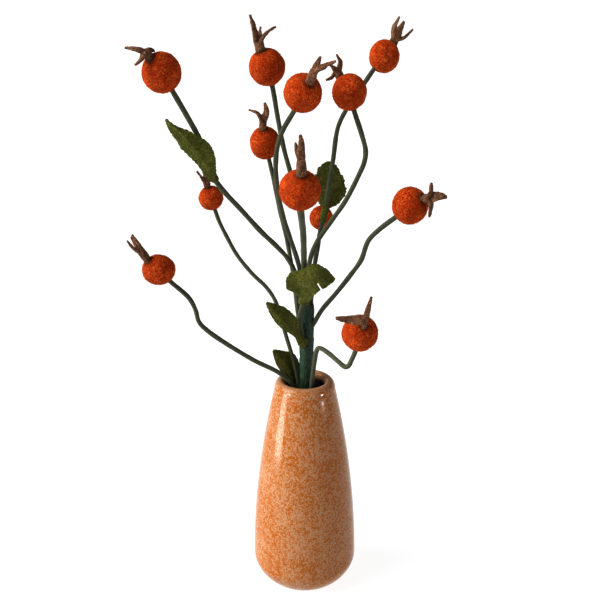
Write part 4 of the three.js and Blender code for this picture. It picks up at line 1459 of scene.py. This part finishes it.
LEAVES = (
    FeltLeaf(
        1,
        ((-49.9, -17.9, 257.8), (-51.1, -22.5, 264.6), (-53.8, -26, 272), (-58.9, -28.5, 279),
            (-65.3, -28, 286), (-71.6, -26, 291.3)),
        ((-50.7, -17.7, 257.4), (-53.8, -20.2, 262.2), (-57.1, -22, 267.8), (-61.3, -23.5, 272.5),
            (-65.3, -24.5, 277.8), (-68.6, -25.5, 283), (-71.4, -26, 288.8), (-71.9, -26, 291.3)),
        ((-48.9, -17.8, 258), (-47.3, -21.5, 262.9), (-47, -25, 270.2), (-48.3, -26, 276.3),
            (-51, -26.5, 280.1), (-55.3, -26.5, 282.8), (-61, -26.5, 285.8), (-67.5, -26.3, 288.6),
            (-71.4, -26, 291.4)),
        wire=WIRES[1], tab=(257.5, 262), teeth=(15, 18), wrap=0.85),
    FeltLeaf(
        2,
        ((-1.2, -12.5, 187.5), (-2.6, -20, 195.9), (-1.3, -26.5, 203.1), (3, -30, 207.8),
            (9.5, -29, 207.8), (16.2, -25, 205.5)),
        ((-2.6, -12.5, 189.3), (-4.9, -17, 194.9), (-10.3, -23, 199.6), (-10.6, -24.5, 204.2),
            (-7.8, -25, 209.3), (-2.5, -26, 211), (2.5, -26.5, 213.9), (6.3, -26.5, 214.5),
            (9.8, -26.5, 212.7), (13, -26, 209.8), (16.4, -25, 205.9)),
        ((0.5, -13.5, 187.9), (3.2, -21, 192.1), (6.6, -29, 199.3), (12.3, -29.5, 202.9),
            (16.2, -25, 205.1)),
        wire=WIRES[7], tab=(186.5, 191.5), teeth=(0, 0), slit=(0.69, 0.8, 0.0105)),
    FeltLeaf(
        3,
        ((11.4, 18.5, 234.8), (12.7, 22.5, 240.8), (13.9, 27.5, 247.6), (14.3, 31, 254.1), (14, 33, 260.7)),
        ((10.4, 18.5, 235.1), (7.8, 21.5, 238.7), (6.2, 25.5, 243.8), (5.9, 29.5, 250.8),
            (7.3, 31.5, 256.1), (10.3, 32.7, 259.3), (13.5, 33, 260.8)),
        ((12.5, 18.5, 235), (17.7, 21.5, 236.3), (22, 24, 239.2), (24.5, 27, 243.5), (23.9, 29.5, 249),
            (21.8, 31.2, 253.5), (19.3, 32.2, 257.5), (16.8, 32.8, 259.9), (14.4, 33, 260.8)),
        wire=WIRES[6], tab=(228, 237.5), teeth=(9, 11), tooth_depth=0.9, wrap=0.85),
    FeltLeaf(
        4,
        ((0.6, -5.4, 159.2), (-3.3, -8.4, 165.3), (-8.1, -11.5, 171.5), (-12.6, -14.5, 177.4),
            (-17.3, -16.5, 183.5), (-21.8, -17, 189.1)),
        ((-1.1, -5, 156.4), (-3.9, -6.2, 159.9), (-5.1, -7.8, 164.1), (-6.7, -8.8, 166.6),
            (-10.1, -10.5, 169.4), (-13.8, -12, 172.6), (-17.1, -13.8, 177.2), (-19.9, -15.5, 182.6),
            (-21.9, -17, 188.7)),
        ((1.8, -5.3, 162.3), (-1.4, -7, 165), (-3, -8.1, 169), (-3.5, -9.2, 172.5), (-4.2, -10.2, 176.1),
            (-7.5, -11.2, 180.8), (-11.7, -12.8, 184.8), (-17, -14.8, 187.7), (-21.6, -17, 189.6)),
        teeth=(16, 14), tooth_depth=0.25, ragged=0.1),
    FeltLeaf(
        5,
        ((1.5, 6, 104), (-2.6, 6.7, 118), (-5.3, 5.8, 126), (-8.2, 5, 135), (-10.7, 4.2, 141.9),
            (-14.9, 3.2, 148.2), (-19, 2.5, 152.8)),
        ((0, 5.6, 104.6), (-4.2, 6.2, 118.4), (-6.9, 5.4, 126.2), (-8.7, 4.9, 130.5), (-10.3, 4.6, 133.9),
            (-13.2, 4.3, 136.8), (-16.5, 3.8, 142.1), (-18.3, 3, 147.6), (-19.2, 2.4, 152.5)),
        ((3, 6.4, 103.6), (-1.2, 7.2, 117.6), (-3.5, 6.6, 125.8), (-2.9, 8.6, 131.4), (-2.7, 9.9, 136.9),
            (-3.5, 10.2, 141.4), (-5.6, 9.6, 146.2), (-8.9, 8, 149.3), (-13.7, 5.5, 151.4),
            (-18.9, 2.7, 153)),
        teeth=(20, 20), tooth_depth=0.2, ragged=0.1),
)


@dataclass(frozen=True)
class Glint:
    """A small light that only shows in gloss.

    Attributes:
        name: The light's name.
        place: Where it stands, in metres.
        target: The point that it faces.
        size: Its width and height in metres.
        power: Its power in watts.
    """

    name: str
    place: Point
    target: Point
    size: tuple[float, float]
    power: float


@dataclass
class Studio:
    """The pale floor, the soft light and the camera.

    Attributes:
        camera_place: Where the camera stands, in metres.
        camera_pitch: How far it looks down, in degrees.
        lens: Its focal length in millimetres on the sensor.
        sensor: The sensor's width in millimetres.
        floor_radius: The floor's radius in metres.
        floor_sides: Corners of the floor.
        floor_glow: How much light the floor gives by itself, so that shadows on it stay faint.
        sky_band: Up to which height the sky is bright and from which it is dim, as the sine of the angle.
        sky_dim: The sky's colour overhead.
        sky_strength: The sky's strength.
        key: The way to the main light, its strength and its angle across in degrees.
        gamma: The picture's gamma.
        glints: The small lights that only show in gloss.
    """

    camera_place: Point = (-0.0029, -0.4568, 0.3354)
    camera_pitch: float = 18.2
    lens: float = 49.56
    sensor: float = 36.0
    floor_radius: float = 40.0
    floor_sides: int = 96
    floor_glow: float = 0.92
    sky_band: tuple[float, float] = (0.06, 0.28)
    sky_dim: Colour = (0.26, 0.26, 0.27)
    sky_strength: float = 1.05
    key: tuple[Point, float, float] = ((-0.90, -0.20, 0.60), 6.0, 50)
    gamma: float = 0.8
    glints: tuple[Glint, ...] = (
        Glint("glint_left", (-0.29, -0.08, 0.062), (0, 0, 0.10), (0.11, 0.085), 0.6),
        Glint("glint_top", (-0.27, -0.165, 0.155), (0, 0, 0.12), (0.08, 0.05), 0.8),
        Glint("glint_right_low", (0.372, -0.189, 0.126), (0, 0, 0.12), (0.05, 0.010), 0.5),
        Glint("glint_right_high", (0.372, -0.189, 0.118), (0, 0, 0.12), (0.05, 0.005), 0.5),
    )

    def camera(self) -> None:
        """Sets up the camera that looks along +Y and slightly down."""
        data = bpy.data.cameras.new("camera")
        data.sensor_width = self.sensor
        data.lens = self.lens
        data.clip_start = 0.01
        camera = placed("camera", data)
        camera.location = self.camera_place
        camera.rotation_euler = (math.radians(90 - self.camera_pitch), 0, 0)
        bpy.context.scene.camera = camera

    def floor(self) -> None:
        """Lays a wide pale floor."""
        turn = around(self.floor_sides)
        rim = np.stack([np.cos(turn), np.sin(turn), np.zeros_like(turn)], 1) * self.floor_radius
        mesh = bpy.data.meshes.new("pale_floor")
        mesh.from_pydata(rim.tolist(), [], [list(range(self.floor_sides))])
        board = Board("pale_floor")
        grain = board.noise(board.place(), 0.6)
        mesh.materials.append(board.wear(
            Base_Color=board.blend(grain, (0.17, 0.17, 0.17), (0.19, 0.19, 0.19)), Roughness=0.9,
            Specular_IOR_Level=0.0, Emission_Color=(1.0, 1.0, 1.0), Emission_Strength=self.floor_glow))
        placed("pale_floor", mesh)

    def world(self) -> None:
        """Surrounds the scene with a pale band at eye height that dims overhead."""
        world = bpy.data.worlds.new("studio")
        world.use_nodes = True
        bpy.context.scene.world = world
        tree = world.node_tree
        sky = tree.nodes["Background"]
        ways = tree.nodes.new("ShaderNodeSeparateXYZ")
        tree.links.new(tree.nodes.new("ShaderNodeTexCoord").outputs["Generated"], ways.inputs[0])
        ramp = tree.nodes.new("ShaderNodeValToRGB")
        tree.links.new(ways.outputs["Z"], ramp.inputs["Fac"])
        tones = ((1.0, 1.0, 1.0), self.sky_dim)
        for stop, height, tone in zip(ramp.color_ramp.elements, self.sky_band, tones):
            stop.position = height
            stop.color = (*tone, 1.0)
        tree.links.new(ramp.outputs["Color"], sky.inputs["Color"])
        sky.inputs["Strength"].default_value = self.sky_strength

    def key_light(self) -> None:
        """Adds the soft main light from the left."""
        towards, strength, softness = self.key
        data = bpy.data.lights.new("key_light", "SUN")
        data.energy = strength
        data.angle = math.radians(softness)
        placed("key_light", data).rotation_euler = Vector(towards).to_track_quat("Z", "Y").to_euler()

    def glint(self, glint: Glint) -> None:
        """Adds one small light, unseen by the camera and by matt surfaces.

        Args:
            glint: The light to add.
        """
        data = bpy.data.lights.new(glint.name, "AREA")
        data.shape = "RECTANGLE"
        data.size, data.size_y = glint.size
        data.energy = glint.power
        lamp = placed(glint.name, data)
        lamp.location = glint.place
        away = Vector(glint.place) - Vector(glint.target)
        lamp.rotation_euler = away.to_track_quat("Z", "Y").to_euler()
        lamp.visible_diffuse = False
        lamp.visible_camera = False

    def build(self) -> None:
        """Sets the stage."""
        self.camera()
        self.floor()
        self.world()
        self.key_light()
        for glint in self.glints:
            self.glint(glint)
        bpy.context.scene.view_settings.view_transform = "Standard"
        bpy.context.scene.view_settings.gamma = self.gamma


def main() -> None:
    """Builds the studio and every piece of the sprig."""
    logging.basicConfig(level=logging.INFO, format="%(message)s")
    Studio().build()
    BudVase().build()
    TapeBinding().build()
    for wire in WIRES.values():
        wire.build()
    for hip in HIPS:
        hip.build()
    for leaf in LEAVES:
        leaf.build()


if __name__ == "__main__":
    main()
